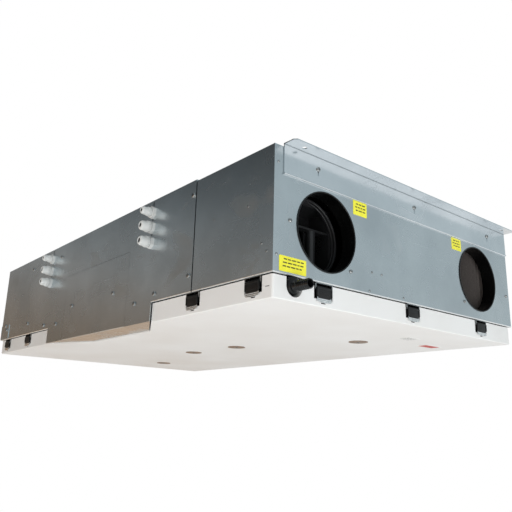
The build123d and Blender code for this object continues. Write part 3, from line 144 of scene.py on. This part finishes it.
share = add(tree, "MapRange", {"Value": facing, "From Min": -0.5, "From Max": 0.55},
            interpolation_type="SMOOTHSTEP").outputs["Result"]
room = add(tree, "Mix", {"Factor": share}, data_type="RGBA")
tree.links.new(dim, room.inputs["A"])
tree.links.new(bright, room.inputs["B"])
lit = add(tree, "Background", {"Color": room.outputs["Result"], "Strength": 1.0})
seen = add(tree, "Background", {"Color": linear("#FFFFFF"), "Strength": 1.0})
eye = add(tree, "LightPath", {}).outputs["Is Camera Ray"]
both = add(tree, "MixShader", {0: eye, 1: lit.outputs[0], 2: seen.outputs[0]})
add(tree, "OutputWorld", {"Surface": both.outputs[0]})

FLOOR_DROP, FLOOR_HALF = 1.35, 2.3
FLOOR_GLOW = 0.25
floor_mesh = bpy.data.meshes.new("floor")
bm = bmesh.new()
bmesh.ops.create_grid(bm, x_segments=1, y_segments=1, size=FLOOR_HALF)
bmesh.ops.translate(bm, vec=(0, 0, cad_low.z - FLOOR_DROP), verts=bm.verts)
bm.to_mesh(floor_mesh)
bm.free()
floor = bpy.data.objects.new("floor", floor_mesh)
bpy.context.scene.collection.objects.link(floor)
floor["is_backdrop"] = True
floor_paint = bpy.data.materials.new("floor_paint")
floor_paint.use_nodes = True
floor_shader = floor_paint.node_tree.nodes["Principled BSDF"]
floor_shader.inputs["Base Color"].default_value = linear("#F4F4F3")
floor_shader.inputs["Roughness"].default_value = 0.9
floor_shader.inputs["Emission Color"].default_value = linear("#FFFFFF")
floor_shader.inputs["Emission Strength"].default_value = FLOOR_GLOW
floor_mesh.materials.append(floor_paint)


def soft_lamp(name, size, watts, place, aim, colour, mirrored=True):
    """One square soft lamp that the camera doesn't see; one not mirrored only lights dull surfaces."""
    data = bpy.data.lights.new(name, "AREA")
    data.size = size
    data.energy = watts
    data.color = linear(colour)[:3]
    lamp = bpy.data.objects.new(name, data)
    lamp.location = place
    lamp.rotation_euler = (Vector(aim) - Vector(place)).to_track_quat("-Z", "Y").to_euler()
    lamp.visible_camera = False
    lamp.visible_glossy = mirrored
    bpy.context.scene.collection.objects.link(lamp)


soft_lamp("over_lamp", 5.0, 36.0, (0.3, 0.0, 3.0), (0.3, 0.0, 0), "#FFFFFF")
soft_lamp("under_lamp", 3.2, 7.0, (-0.45, -0.45, cad_low.z - 1.3), (-0.1, 0.15, 0), "#FCFDFF", mirrored=False)
soft_lamp("front_lamp", 0.9, 16.0, (-0.1, -3.0, -1.4), (0, -0.7, -0.28), "#FFFFFF")
soft_lamp("left_lamp", 1.8, 40.0, (-2.6, -1.4, -1.5), (-0.4, -0.3, -0.28), "#FFFFFF", mirrored=False)


# ---------------------------------------------------------------- galvanised steel sheets
# Hot-dip galvanised sheet, folded and riveted. The zinc has a faint spangle, rolling lines along
# the sheet and hair scratches from handling; it mirrors its surroundings softly.
def material(name, inputs):
    """A new principled material; inputs are values for the shader's own sockets."""
    made = bpy.data.materials.new(name)
    made.use_nodes = True
    shader = made.node_tree.nodes["Principled BSDF"]
    for socket, value in inputs.items():
        shader.inputs[socket].default_value = value
    return made, made.node_tree, shader


def dress(made, *names):
    """Give CAD nodes a material."""
    for name in names:
        nodes[name].data.materials.clear()
        nodes[name].data.materials.append(made)


EVEN = (1, 1, 1)


def scaled(tree, scale=EVEN, turn=(0, 0, 0)):
    """Object coordinates, scaled per metre and turned."""
    place = add(tree, "TexCoord", {}).outputs["Object"]
    return add(tree, "Mapping", {"Vector": place, "Scale": scale, "Rotation": turn}).outputs["Vector"]


def galvanised(name, pale, dark, roughness):
    """Galvanised sheet between two zinc tones."""
    made, tree, shader = material(name, {"Metallic": 1.0})
    link = tree.links.new
    # spangle: zinc crystals about 9 mm across
    spangle = add(tree, "TexVoronoi", {"Vector": scaled(tree), "Scale": 110.0})
    grain = add(tree, "SeparateColor", {"Color": spangle.outputs["Color"]}).outputs["Red"]
    # cloudy tone over 150 mm, as the zinc coat varies along the coil
    cloud = add(tree, "TexNoise", {"Vector": scaled(tree), "Scale": 6.5, "Detail": 4.0}).outputs["Fac"]
    mottle = add(tree, "Math", {0: grain, 1: 0.03}, operation="MULTIPLY").outputs[0]
    tone = add(tree, "Math", {0: cloud, 1: mottle}, operation="ADD").outputs[0]
    colour = ramp(tree, tone, ((0.3, dark), (0.75, pale)))
    # hair scratches: noise drawn out 60 to 1 and thresholded, in two directions
    marks = []
    for turn, shift in (((0.5, 0.9, 0.4), 4.0), ((-0.7, 0.3, 1.1), 9.0)):
        lines = scaled(tree, (2.0, 2.0, 150.0), turn)
        streak = add(tree, "TexNoise", {"Vector": lines, "Scale": 1.0 + shift / 20, "Detail": 2.0})
        thin = add(tree, "MapRange", {"Value": streak.outputs["Fac"], "From Min": 0.74, "From Max": 0.80})
        marks.append(thin.outputs["Result"])
    scratch = add(tree, "Math", {0: marks[0], 1: marks[1]}, operation="MAXIMUM").outputs[0]
    worn = add(tree, "Mix", {"Factor": scratch, "A": colour, "B": linear("#DCE2E5")}, data_type="RGBA")
    link(worn.outputs["Result"], shader.inputs["Base Color"])
    rough = add(tree, "MapRange", {"Value": tone, "From Min": 0.3, "From Max": 0.9,
                                   "To Min": roughness + 0.06, "To Max": roughness - 0.05}).outputs["Result"]
    rougher = add(tree, "Math", {0: scratch, 1: 0.12, 2: rough}, operation="MULTIPLY_ADD").outputs[0]
    # wiped smears, a little duller than the rest
    wipe = add(tree, "TexNoise", {"Vector": scaled(tree, (1.0, 0.45, 1.0), (0.6, 0.2, 0.3)), "Scale": 9.0,
                                  "Detail": 5.0, "Distortion": 1.6}).outputs["Fac"]
    smear = add(tree, "MapRange", {"Value": wipe, "From Min": 0.56, "From Max": 0.74, "To Max": 0.2})
    rougher = add(tree, "Math", {0: rougher, 1: smear.outputs["Result"]}, operation="ADD").outputs[0]
    link(rougher, shader.inputs["Roughness"])
    # the sheet isn't quite flat: waves 120 mm long, and the crystals' own slight relief
    wave = add(tree, "TexNoise", {"Vector": scaled(tree), "Scale": 8.0, "Detail": 1.0}).outputs["Fac"]
    sag = add(tree, "Bump", {"Height": wave, "Strength": 0.28, "Distance": 0.004}).outputs["Normal"]
    relief = add(tree, "Bump", {"Height": grain, "Strength": 0.005, "Distance": 0.0003, "Normal": sag})
    link(relief.outputs["Normal"], shader.inputs["Normal"])
    return made


def place_mesh(name, bm, body, slot, *materials):
    """Turn a bmesh into an object that rides on a CAD body."""
    mesh = bpy.data.meshes.new(name)
    bmesh.ops.recalc_face_normals(bm, faces=bm.faces)
    bm.to_mesh(mesh)
    bm.free()
    for made in materials:
        mesh.materials.append(made)
    piece = bpy.data.objects.new(name, mesh)
    bpy.context.scene.collection.objects.link(piece)
    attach(piece, body)
    return piece


def strip(bm, start, end, section):
    """A straight strip along the floor plan; section is a closed outline of (outward, up) in millimetres."""
    along = (end - start).normalized()
    outward = Vector((along.y, -along.x, 0))
    rim = [bm.verts.new(start + (outward * out + Vector((0, 0, 1)) * rise) * MM) for out, rise in section]
    face = bm.faces.new(rim)
    moved = bmesh.ops.extrude_face_region(bm, geom=[face])["geom"]
    bmesh.ops.translate(bm, vec=end - start, verts=[v for v in moved if isinstance(v, bmesh.types.BMVert)])


zinc_sheet = galvanised("galvanised_steel", "#D7DEE1", "#BFC7CB", 0.24)
dress(zinc_sheet, "front_plate", "rear_plate", "right_side", "left_front_side", "left_cover", "top_sheet",
      "corner_plate", "electrical_cover", "ebox_tray")

# the sheets' lower folds, rounded to 2.2 mm, run all round the casing but for the electrical box;
# their zinc is painted far paler than the sheets': a painted highlight line along the bottom edge
highlight_fold_zinc = galvanised("burnished_galvanised_fold", "#FBFCFC", "#EDF0F1", 0.34)
QUARTER = [math.radians(a) for a in range(0, 91, 10)]
FOLD_R, FOLD_SET, FOLD_BACK = 2.2, 1.85, 1.2
FOLD = [(FOLD_R * math.cos(a) - FOLD_SET, FOLD_SET - FOLD_R * math.sin(a)) for a in QUARTER]
FOLD.append((-FOLD_BACK, FOLD_BACK))
REAR_PROUD = 1.2 * MM  # the left rear sheet stands this far outside the front one
BOX_FRONT, BOX_REAR, SHEET_JOINT = 0.412, 1.010, 0.2515  # metres from the front plate
JOINT_GAP = 1.0 * MM
casing_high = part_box("right_side")[1]
left, right, rear, bottom = corner.x, casing_high.x, -corner.y, front_low.z
proud = left - REAR_PROUD
runs = (((left, -rear), (right, -rear)), ((right, -rear), (right, rear)), ((right, rear), (left, rear)),
        ((proud, rear - 0.0004), (proud, corner.y + BOX_REAR)),
        ((proud, corner.y + BOX_FRONT), (proud, corner.y + SHEET_JOINT + JOINT_GAP)),
        ((left, corner.y + SHEET_JOINT - JOINT_GAP), (left, -rear)))
bm = bmesh.new()
for start, end in runs:
    strip(bm, Vector((*start, bottom)), Vector((*end, bottom)), FOLD)
place_mesh("sheet_folds", bm, "casing", "galvanised_steel", highlight_fold_zinc)


# ---------------------------------------------------------------- hanging brackets
# Thicker galvanised strip: its zinc is painted paler and brighter than the sheets behind it, a painted
# highlight for the brighter reflection on the brackets.
zinc_strip = galvanised("galvanised_strip", "#E9EEF1", "#D6DDE1", 0.2)
dress(zinc_strip, "front_bracket", "rear_bracket")

# inside of each fold between leg and flange: 1.4 mm radius, in duller zinc painted darker, a painted shade
# line in the crease
shaded_cove_zinc = galvanised("crazed_galvanised_fold", "#B4BCC0", "#9AA2A6", 0.42)
COVE_R, STRIP_T, STRIP_TRIM = 1.4, 2.0 * MM, 0.5 * MM
COVE = [(COVE_R * (1 - math.sin(a)), COVE_R * (math.cos(a) - 1)) for a in QUARTER]
bm = bmesh.new()
for name, facing in (("front_bracket", -1), ("rear_bracket", 1)):
    low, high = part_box(name)
    leg = (corner.y - STRIP_T) * -facing
    ends = [Vector((x, leg, high.z - STRIP_T)) for x in (low.x + STRIP_TRIM, high.x - STRIP_TRIM)]
    strip(bm, *(ends if facing < 0 else reversed(ends)), [*COVE, (0.0, 0.0)])
place_mesh("bracket_folds", bm, "casing", "galvanised_steel", shaded_cove_zinc)


# ---------------------------------------------------------------- zinc-plated hardware
# Pan-head screws, blind rivets, latch brackets and pins: zinc plate over steel, its tone varying at
# random and painted darker than the hooks' zinc, a painted shade that keeps the heads from shining all white.
hardware, tree, shader = material("zinc_plate", {"Metallic": 1.0, "Roughness": 0.24})
tint = add(tree, "TexNoise", {"Vector": scaled(tree), "Scale": 420.0, "Detail": 3.0}).outputs["Fac"]
tree.links.new(ramp(tree, tint, ((0.3, "#8E9192"), (0.7, "#C6C8C8"))), shader.inputs["Base Color"])
dress(hardware, "side_screws", "bracket_screws", "rivets", "disc_screws", "latch_brackets", "latch_pins")


# ---------------------------------------------------------------- duct collars
# Injection-moulded black ABS, glossy inside, pushed through the end plates from within.
collar_abs, tree, shader = material("black_abs", {"Roughness": 0.22, "IOR": 1.4})
ripple = add(tree, "TexNoise", {"Vector": scaled(tree), "Scale": 30.0, "Detail": 3.0}).outputs["Fac"]
gloss = add(tree, "MapRange", {"Value": ripple, "To Min": 0.14, "To Max": 0.34}).outputs["Result"]
tree.links.new(gloss, shader.inputs["Roughness"])
tree.links.new(ramp(tree, ripple, ((0.3, "#040404"), (0.75, "#0A0B0B"))), shader.inputs["Base Color"])
uneven = add(tree, "Bump", {"Height": ripple, "Strength": 0.15, "Distance": 0.001})
tree.links.new(uneven.outputs["Normal"], shader.inputs["Normal"])
dress(collar_abs, "duct_collars")


# ---------------------------------------------------------------- black polypropylene mouldings
# Drip tray, end caps, impellers, damper blade, terminal blocks: black PP with a spark-eroded grain
# drawn about 0.8 mm across, coarser than the real one so that it shows.
def moulded(name, pale, dark, roughness, grit_mm):
    """Moulded plastic with an eroded surface grain."""
    made, tree, shader = material(name, {"Roughness": roughness, "IOR": 1.49})
    fine = 1.0 / (grit_mm * MM)
    grit = add(tree, "TexNoise", {"Vector": scaled(tree), "Scale": fine, "Detail": 2.0})
    blotch = add(tree, "TexNoise", {"Vector": scaled(tree), "Scale": 25.0, "Detail": 3.0})
    tree.links.new(ramp(tree, blotch.outputs["Fac"], ((0.3, dark), (0.7, pale))), shader.inputs["Base Color"])
    rough = add(tree, "MapRange", {"Value": blotch.outputs["Fac"], "To Min": roughness - 0.08,
                                   "To Max": roughness + 0.1}).outputs["Result"]
    tree.links.new(rough, shader.inputs["Roughness"])
    bump = add(tree, "Bump", {"Height": grit.outputs["Fac"], "Strength": 0.25, "Distance": 0.0002})
    tree.links.new(bump.outputs["Normal"], shader.inputs["Normal"])
    return made


black_pp = moulded("black_polypropylene", "#1B1C1D", "#101112", 0.42, 0.8)
dress(black_pp, "drip_tray", "core_end_caps", "supply_impeller", "exhaust_impeller", "damper_blade",
      "terminal_blocks", "board_components")


# ---------------------------------------------------------------- condensate elbow
# Black polypropylene elbow screwed up through the front flange: a domed body and a hose barb of
# six saw-tooth ribs, glossier than the eroded mouldings inside the unit.
def turned_shell(bm, centre, axis, across, profile, steps=64):
    """Spin a profile of (radius, distance along the axis) in millimetres."""
    ring = [bm.verts.new(centre + (across * radius + axis * reach) * MM) for radius, reach in profile]
    edges = [bm.edges.new(pair) for pair in zip(ring, ring[1:])]
    bmesh.ops.spin(bm, geom=ring + edges, cent=centre, axis=axis, angle=2 * math.pi, steps=steps,
                   use_merge=True)


def smooth_by_angle(piece):
    """Smooth shading that keeps edges over 35 degrees sharp."""
    for face in piece.data.polygons:
        face.use_smooth = True
    piece.data.set_sharp_from_angle(angle=math.radians(35))


WELD = 0.02 * MM
DOME_R, DOME_TOP, COLLAR_TOP = 17, 15.2, 16.4
BARB_END, RIB_PITCH, RIBS = 53.0, 5.0, 6
BARB_BORE, BARB_NECK, RIB_R = 7.0, 7.9, 10.0
gloss_pp = moulded("glossy_polypropylene", "#131415", "#0B0C0C", 0.2, 2.0)
elbow_low, elbow_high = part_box("drain_elbow")
middle = Vector(((elbow_low.x + elbow_high.x) / 2, elbow_high.y - DOME_R * MM, elbow_low.z + DOME_R * MM))
bowl = [math.radians(a) for a in range(0, 91, 6)]
dome = [(DOME_R * math.sin(a), -DOME_R * math.cos(a)) for a in bowl]
dome += [(17.0, DOME_TOP), (16.2, COLLAR_TOP), (0.0, COLLAR_TOP)]
barb = [(BARB_BORE, 12.0), (BARB_BORE, BARB_END - 0.8), (7.8, BARB_END), (8.6, BARB_END)]
for rib in range(RIBS):
    root = BARB_END - RIB_PITCH * rib
    barb += [(RIB_R, root - 3.2), (9.9, root - 3.7), (BARB_NECK, root - 4.1), (BARB_NECK, root - RIB_PITCH)]
barb += [(BARB_NECK, 22.0), (9.0, 18.5), (11.5, 15.8), (11.5, 12.0)]
bm = bmesh.new()
turned_shell(bm, middle, Vector((0, 0, 1)), Vector((1, 0, 0)), dome)
turned_shell(bm, middle, Vector((0, -1, 0)), Vector((1, 0, 0)), barb + [barb[0]])
bmesh.ops.remove_doubles(bm, verts=bm.verts, dist=WELD)
elbow = place_mesh("ribbed_elbow", bm, "casing", "black_plastic", gloss_pp)
smooth_by_angle(elbow)
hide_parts("drain_elbow")


# ---------------------------------------------------------------- fan scrolls
# The same black polypropylene, a little glossier and painted paler than the other mouldings: painted
# light inside the mouth, where light comes in by the duct.
scroll_pp = moulded("polished_polypropylene", "#2B2C2E", "#1F2021", 0.3, 1.2)
dress(scroll_pp, "supply_fan_housing", "exhaust_fan_housing")


# ---------------------------------------------------------------- foam lining
# Expanded polypropylene, black, moulded in steam: fused beads about 4 mm across show on its skin.
epp, tree, shader = material("expanded_polypropylene", {"Roughness": 0.85})
beads = add(tree, "TexVoronoi", {"Vector": scaled(tree), "Scale": 240.0}, feature="DISTANCE_TO_EDGE")
tree.links.new(ramp(tree, beads.outputs["Distance"], ((0.0, "#090909"), (0.25, "#1C1C1D"))),
               shader.inputs["Base Color"])
seams = add(tree, "Bump", {"Height": beads.outputs["Distance"], "Strength": 0.5, "Distance": 0.0008})
tree.links.new(seams.outputs["Normal"], shader.inputs["Normal"])
dress(epp, "foam_liner", "panel_foam")


# ---------------------------------------------------------------- plate heat exchanger
# A pack of thin polystyrene plates, welded at their edges: fine lines every 3 mm up its height.
plates, tree, shader = material("polystyrene_plates", {"Roughness": 0.35, "IOR": 1.59})
PLATE_PITCH = 3 * MM
rise = add(tree, "SeparateXYZ", {"Vector": scaled(tree, (1, 1, 2 * math.pi / PLATE_PITCH))}).outputs["Z"]
fold = add(tree, "Math", {0: rise}, operation="SINE").outputs[0]
tree.links.new(ramp(tree, fold, ((0.0, "#5E666B"), (1.0, "#C4CDD2"))), shader.inputs["Base Color"])
edge = add(tree, "Bump", {"Height": fold, "Strength": 0.8, "Distance": 0.0008})
tree.links.new(edge.outputs["Normal"], shader.inputs["Normal"])
dress(plates, "heat_exchanger")


# ---------------------------------------------------------------- filters
# Pleated synthetic fibre in a stiff frame, brown-grey, with a loose felt-like surface.
fibre, tree, shader = material("filter_fibre", {"Roughness": 0.95})
felt = add(tree, "TexNoise", {"Vector": scaled(tree), "Scale": 900.0, "Detail": 6.0}).outputs["Fac"]
tree.links.new(ramp(tree, felt, ((0.3, "#4E4947"), (0.7, "#7A7471"))), shader.inputs["Base Color"])
fuzz = add(tree, "Bump", {"Height": felt, "Strength": 0.5, "Distance": 0.0006})
tree.links.new(fuzz.outputs["Normal"], shader.inputs["Normal"])
dress(fibre, "extract_filter", "intake_filter")


# ---------------------------------------------------------------- motors and damper actuator
# Die-cast motor bodies with a sandy skin; the actuator has a light grey polycarbonate case.
casting, tree, shader = material("cast_aluminium", {"Metallic": 1.0, "Roughness": 0.5})
sand = add(tree, "TexNoise", {"Vector": scaled(tree), "Scale": 700.0, "Detail": 3.0}).outputs["Fac"]
tree.links.new(ramp(tree, sand, ((0.3, "#8C8D8E"), (0.7, "#A9AAAB"))), shader.inputs["Base Color"])
skin = add(tree, "Bump", {"Height": sand, "Strength": 0.4, "Distance": 0.0003})
tree.links.new(skin.outputs["Normal"], shader.inputs["Normal"])
dress(casting, "supply_motor", "exhaust_motor")
grey_pc = moulded("grey_polycarbonate", "#D3D5D5", "#C2C5C6", 0.4, 0.7)
dress(grey_pc, "damper_actuator")


# ---------------------------------------------------------------- control board
# Green solder mask over a glass-fibre board, with the copper tracks just visible beneath it.
board, tree, shader = material("solder_mask", {"Roughness": 0.3, "IOR": 1.55})
tracks = add(tree, "TexBrick", {"Vector": scaled(tree, turn=(0, math.pi / 2, 0)), "Scale": 90.0,
                                "Color1": linear("#1E5B36"), "Color2": linear("#17482B"),
                                "Mortar": linear("#2C7A49"), "Mortar Size": 0.03})
tree.links.new(tracks.outputs["Color"], shader.inputs["Base Color"])
dress(board, "control_board")


# ---------------------------------------------------------------- cable glands
# Polyamide glands, light grey, with slightly translucent, satin skin and rubber membranes.
polyamide = moulded("light_grey_polyamide", "#E2E4E3", "#D3D6D6", 0.38, 0.6)
polyamide_shader = polyamide.node_tree.nodes["Principled BSDF"]
polyamide_shader.inputs["Subsurface Weight"].default_value = 0.08
polyamide_shader.inputs["Subsurface Radius"].default_value = (0.002, 0.002, 0.002)
dress(polyamide, "cable_glands", "gland_nuts")
rubber = moulded("epdm_rubber", "#191919", "#0E0E0E", 0.7, 0.5)
dress(rubber, "gland_seals", "panel_gasket")


# ---------------------------------------------------------------- service panel
# Steel pan with a white polyester powder coat: fine orange peel, and a little dust on it.
powder, tree, shader = material("white_powder_coat", {"Roughness": 0.34, "IOR": 1.5})
peel = add(tree, "TexNoise", {"Vector": scaled(tree), "Scale": 700.0, "Detail": 1.0}).outputs["Fac"]
dust = add(tree, "TexNoise", {"Vector": scaled(tree), "Scale": 5.0, "Detail": 5.0}).outputs["Fac"]
tree.links.new(ramp(tree, dust, ((0.3, "#E9E8E6"), (0.7, "#F1F1F0"))), shader.inputs["Base Color"])
satin = add(tree, "MapRange", {"Value": dust, "To Min": 0.28, "To Max": 0.46}).outputs["Result"]
tree.links.new(satin, shader.inputs["Roughness"])
orange = add(tree, "Bump", {"Height": peel, "Strength": 0.12, "Distance": 0.0003})
tree.links.new(orange.outputs["Normal"], shader.inputs["Normal"])
dress(powder, "bottom_panel")


# ---------------------------------------------------------------- panel washers
# Pressed washers of steel that mirror the floor; their warm brown tone is a painted reflection of the warm
# room.
washer, tree, shader = material("passivated_steel", {"Metallic": 1.0, "Roughness": 0.3})
haze = add(tree, "TexNoise", {"Vector": scaled(tree), "Scale": 60.0, "Detail": 4.0}).outputs["Fac"]
tree.links.new(ramp(tree, haze, ((0.3, "#6E5A4A"), (0.7, "#A08A76"))), shader.inputs["Base Color"])
dress(washer, "panel_discs")


# ---------------------------------------------------------------- labels
# Vinyl stickers on the duct end and under the panel. Their print is only blank bars, a little
# proud of the vinyl, as screen-printed ink is.
vinyl, tree, shader = material("yellow_vinyl", {"Roughness": 0.3, "IOR": 1.5})
fade = add(tree, "TexNoise", {"Vector": scaled(tree), "Scale": 40.0, "Detail": 3.0}).outputs["Fac"]
tree.links.new(ramp(tree, fade, ((0.3, "#F4EE3A"), (0.7, "#FFF945"))), shader.inputs["Base Color"])
dress(vinyl, "yellow_labels")
paper, tree, shader = material("white_vinyl", {"Roughness": 0.4, "IOR": 1.5})
fade = add(tree, "TexNoise", {"Vector": scaled(tree), "Scale": 40.0, "Detail": 3.0}).outputs["Fac"]
tree.links.new(ramp(tree, fade, ((0.3, "#E4E4E2"), (0.7, "#F4F4F3"))), shader.inputs["Base Color"])
dress(paper, "panel_labels")


def ink(name, pale, dark):
    """Screen-printed ink, a little uneven."""
    made, tree, shader = material(name, {"Roughness": 0.5, "IOR": 1.48})
    cover = add(tree, "TexNoise", {"Vector": scaled(tree), "Scale": 600.0, "Detail": 2.0}).outputs["Fac"]
    tree.links.new(ramp(tree, cover, ((0.3, dark), (0.7, pale))), shader.inputs["Base Color"])
    return made


def block(bm, low, high, bevel=0.0, segments=2):
    """A box between two corners, in metres, its edges rounded by a bevel."""
    centre = [(a + b) / 2 for a, b in zip(low, high)]
    size = [b - a for a, b in zip(low, high)]
    frame_in = Matrix.Translation(centre) @ Matrix.Diagonal((*size, 1.0))
    made = bmesh.ops.create_cube(bm, size=1.0, matrix=frame_in)["verts"]
    if bevel:
        edges = {edge for vert in made for edge in vert.link_edges}
        made = bmesh.ops.bevel(bm, geom=list(edges), offset=bevel, segments=segments, affect="EDGES",
                               profile=0.5, material=-1, offset_type="OFFSET", clamp_overlap=True)["verts"]
    return made


BAR_SHARE, BAR_GAP = 0.36, 2.0 * MM


def bars(bm, rng, left, right, top, bottom, rows, ink_at):
    """Rows of blank bars of uneven length between four edges of a label."""
    pitch = (top - bottom) / rows
    for row in range(rows):
        x = left + rng.uniform(0.0, 0.12) * (right - left)
        end = right - rng.uniform(0.0, 0.12) * (right - left)
        while x < end - 2 * MM:
            width = min(rng.uniform(5, 11) * MM, end - x)
            high = top - row * pitch
            ink_at(bm, x, x + width, high - pitch * BAR_SHARE, high)
            x += width + BAR_GAP


YELLOW = ((15, 82, 213, 242), (216, 258, 57, 87), (571, 611, 58, 87))  # left, right, top, bottom
MARGIN = 4.5
ink_front, ink_back = front_low.y - 0.45 * MM, front_low.y - 0.38 * MM
rng = random.Random(54)
bm = bmesh.new()
for x0, x1, top, foot in YELLOW:
    bars(bm, rng, corner.x + (x0 + MARGIN) * MM, corner.x + (x1 - MARGIN) * MM,
         corner.z - (top + MARGIN) * MM, corner.z - (foot - MARGIN) * MM, 3,
         lambda bm, x0, x1, z0, z1: block(bm, (x0, ink_front, z0), (x1, ink_back, z1)))
place_mesh("label_print", bm, "casing", "yellow_label", ink("black_ink", "#5C5A2C", "#45441F"))

bm = bmesh.new()
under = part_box("panel_labels")[0].z
ink_low, ink_high = under - 0.05 * MM, under + 0.02 * MM
bars(bm, rng, corner.x + 549 * MM, corner.x + 591 * MM, corner.y + 148 * MM, corner.y + 119 * MM, 4,
     lambda bm, x0, x1, y0, y1: block(bm, (x0, y0, ink_low), (x1, y1, ink_high)))
place_mesh("panel_label_print", bm, "panel", "white_label", ink("grey_ink", "#8C8C8A", "#777775"))
bm = bmesh.new()
block(bm, (corner.x + 694 * MM, corner.y + 170 * MM, ink_low),
      (corner.x + 756 * MM, corner.y + 196 * MM, ink_high))
place_mesh("panel_label_block", bm, "panel", "white_label", ink("red_ink", "#C8473F", "#B83A34"))


# ---------------------------------------------------------------- gland nuts
# Light grey polyamide dome nuts, screwed on the gland bodies: a ribbed grip, then a dome that
# closes down to the membrane. They stand in two rows on the rear left sheet, the top one slimmer.
PROFILE = ((5.5, 30.0), (5.5, 32.2), (6.2, 33.0), (7.4, 32.8), (9.6, 31.6), (11.0, 29.6), (11.6, 27.0),
           (11.8, 19.5), (12.6, 18.0), (12.8, 8.4), (12.2, 7.4), (9.0, 7.2))
ROWS, DROPS = (430.0, 1029.0), (29.0, 66.0, 103.0)
SLIM = 0.8
GRIPS, GRIP_HALF = 16, 0.7 * MM
sheet_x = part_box("left_cover")[0].x
bm = bmesh.new()
for row_y in ROWS:
    for drop in DROPS:
        girth = SLIM if drop == DROPS[0] else 1.0
        centre = Vector((sheet_x, corner.y + row_y * MM, corner.z - drop * MM))
        outline = [(radius * girth, reach) for radius, reach in PROFILE]
        turned_shell(bm, centre, Vector((-1, 0, 0)), Vector((0, 0, 1)), outline, 48)
        for i in range(GRIPS):
            turn = Matrix.Translation(centre) @ Matrix.Rotation(2 * math.pi * i / GRIPS, 4, "X")
            rib = block(bm, (-17.6 * MM, -GRIP_HALF, 12.0 * girth * MM),
                        (-8.6 * MM, GRIP_HALF, 13.6 * girth * MM), 0.35 * MM)
            bmesh.ops.transform(bm, matrix=turn, verts=rib)
bmesh.ops.remove_doubles(bm, verts=bm.verts, dist=WELD)
for face in bm.faces:
    face.smooth = True
nuts = place_mesh("ribbed_gland_nuts", bm, "casing", "grey_plastic", polyamide)
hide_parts("gland_nuts")


# ---------------------------------------------------------------- draw latches
# Fourteen draw latches. Each has a black glass-filled nylon lever on a steel pin under the casing
# flange, and a zinc-plated hook below it, whose lip holds the panel up by its pocket.
nylon = moulded("black_nylon", "#0C0D0E", "#060707", 0.45, 0.7)
# the hooks' zinc is painted paler than the other hardware's: a painted highlight for their bright reflection
hook_zinc, tree, shader = material("bright_zinc_plate", {"Metallic": 1.0, "Roughness": 0.22})
rubbed = add(tree, "TexNoise", {"Vector": scaled(tree), "Scale": 160.0, "Detail": 3.0}).outputs["Fac"]
tree.links.new(ramp(tree, rubbed, ((0.3, "#D6D9DA"), (0.7, "#F4F6F6"))), shader.inputs["Base Color"])


def lever(bm):
    """Lever drawn round its pin: X along the pin, Y outwards, Z up."""
    block(bm, (-20.5 * MM, 1.0 * MM, -16.5 * MM), (20.5 * MM, 5.6 * MM, 1.0 * MM), 1.3 * MM, 3)
    for x0, x1 in ((-20.5, -17.0), (17.0, 20.5)):
        block(bm, (x0 * MM, 3.0 * MM, -16.5 * MM), (x1 * MM, 6.5 * MM, 0.6 * MM), 0.9 * MM, 3)
    block(bm, (-18.0 * MM, 3.0 * MM, -3.4 * MM), (18.0 * MM, 6.4 * MM, 0.4 * MM), 0.8 * MM, 3)
    block(bm, (-16.5 * MM, 1.0 * MM, -20.5 * MM), (16.5 * MM, 5.2 * MM, -15.0 * MM), 1.0 * MM, 3)
    for i in range(3):
        z = (-14.4 + 2.1 * i) * MM
        block(bm, (-15.0 * MM, 4.6 * MM, z - 0.5 * MM), (15.0 * MM, 6.0 * MM, z + 0.5 * MM), 0.35 * MM)
    bmesh.ops.create_cone(bm, cap_ends=True, segments=32, radius1=4 * MM, radius2=4 * MM, depth=41 * MM,
                          matrix=Matrix.Rotation(math.pi / 2, 4, "Y"))


OVERLAP = 1.1  # neighbouring lengths of a bar run into each other
HOOK_HALF = 18.5


def bar(bm, points, radius):
    """A round bar along a chain of points, in millimetres."""
    for start, end in zip(points, points[1:]):
        start, end = Vector(start) * MM, Vector(end) * MM
        turn = (end - start).to_track_quat("Z", "Y").to_matrix().to_4x4()
        place = Matrix.Translation((start + end) / 2) @ turn
        bmesh.ops.create_cone(bm, cap_ends=True, segments=12, radius1=radius * MM, radius2=radius * MM,
                              depth=(end - start).length * OVERLAP, matrix=place)


def hook(bm):
    """Hook drawn round the same pin: a tongue with two rolled beads, a curved lower edge and its lip."""
    arc = [(HOOK_HALF * t, -26.9 - 1.5 * (1 - t * t)) for t in (-1 + i / 12 for i in range(25))]
    outline = [(-HOOK_HALF, -18.0), *arc, (HOOK_HALF, -18.0)]
    for y in (3.0, 4.4):
        bm.faces.new([bm.verts.new((x * MM, y * MM, z * MM)) for x, z in outline])
    bmesh.ops.bridge_loops(bm, edges=[edge for edge in bm.edges if edge.is_boundary])
    for bead in (-21.2, -24.6):
        bar(bm, ((-18.2, 4.4, bead), (18.2, 4.4, bead)), 0.9)
    bar(bm, [(x, 4.0, z + 0.7) for x, z in arc], 1.0)
    block(bm, (-5.0 * MM, -1.9 * MM, -28.5 * MM), (5.0 * MM, 4.4 * MM, -27.1 * MM), 0.3 * MM)


LATCH_PIECES = (("_lever", lever, nylon, "black_plastic"), ("_hook", hook, hook_zinc, "zinc_hardware"))
for joint in frame["joints"]:
    if not joint["name"].startswith("latch_"):
        continue
    body = joint["name"].removesuffix("_swing")
    along = Vector(joint["axis"])
    outward = Vector((-along.y, along.x, 0))
    place = Matrix.Translation(joint["pos_m"]) @ Matrix((along, outward, (0, 0, 1))).transposed().to_4x4()
    for suffix, draw, made, slot in LATCH_PIECES:
        bm = bmesh.new()
        draw(bm)
        bmesh.ops.transform(bm, matrix=place, verts=bm.verts)
        piece = place_mesh(body + suffix, bm, body, slot, made)
        smooth_by_angle(piece)
        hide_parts(body)


# ---------------------------------------------------------------- size
low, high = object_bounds()
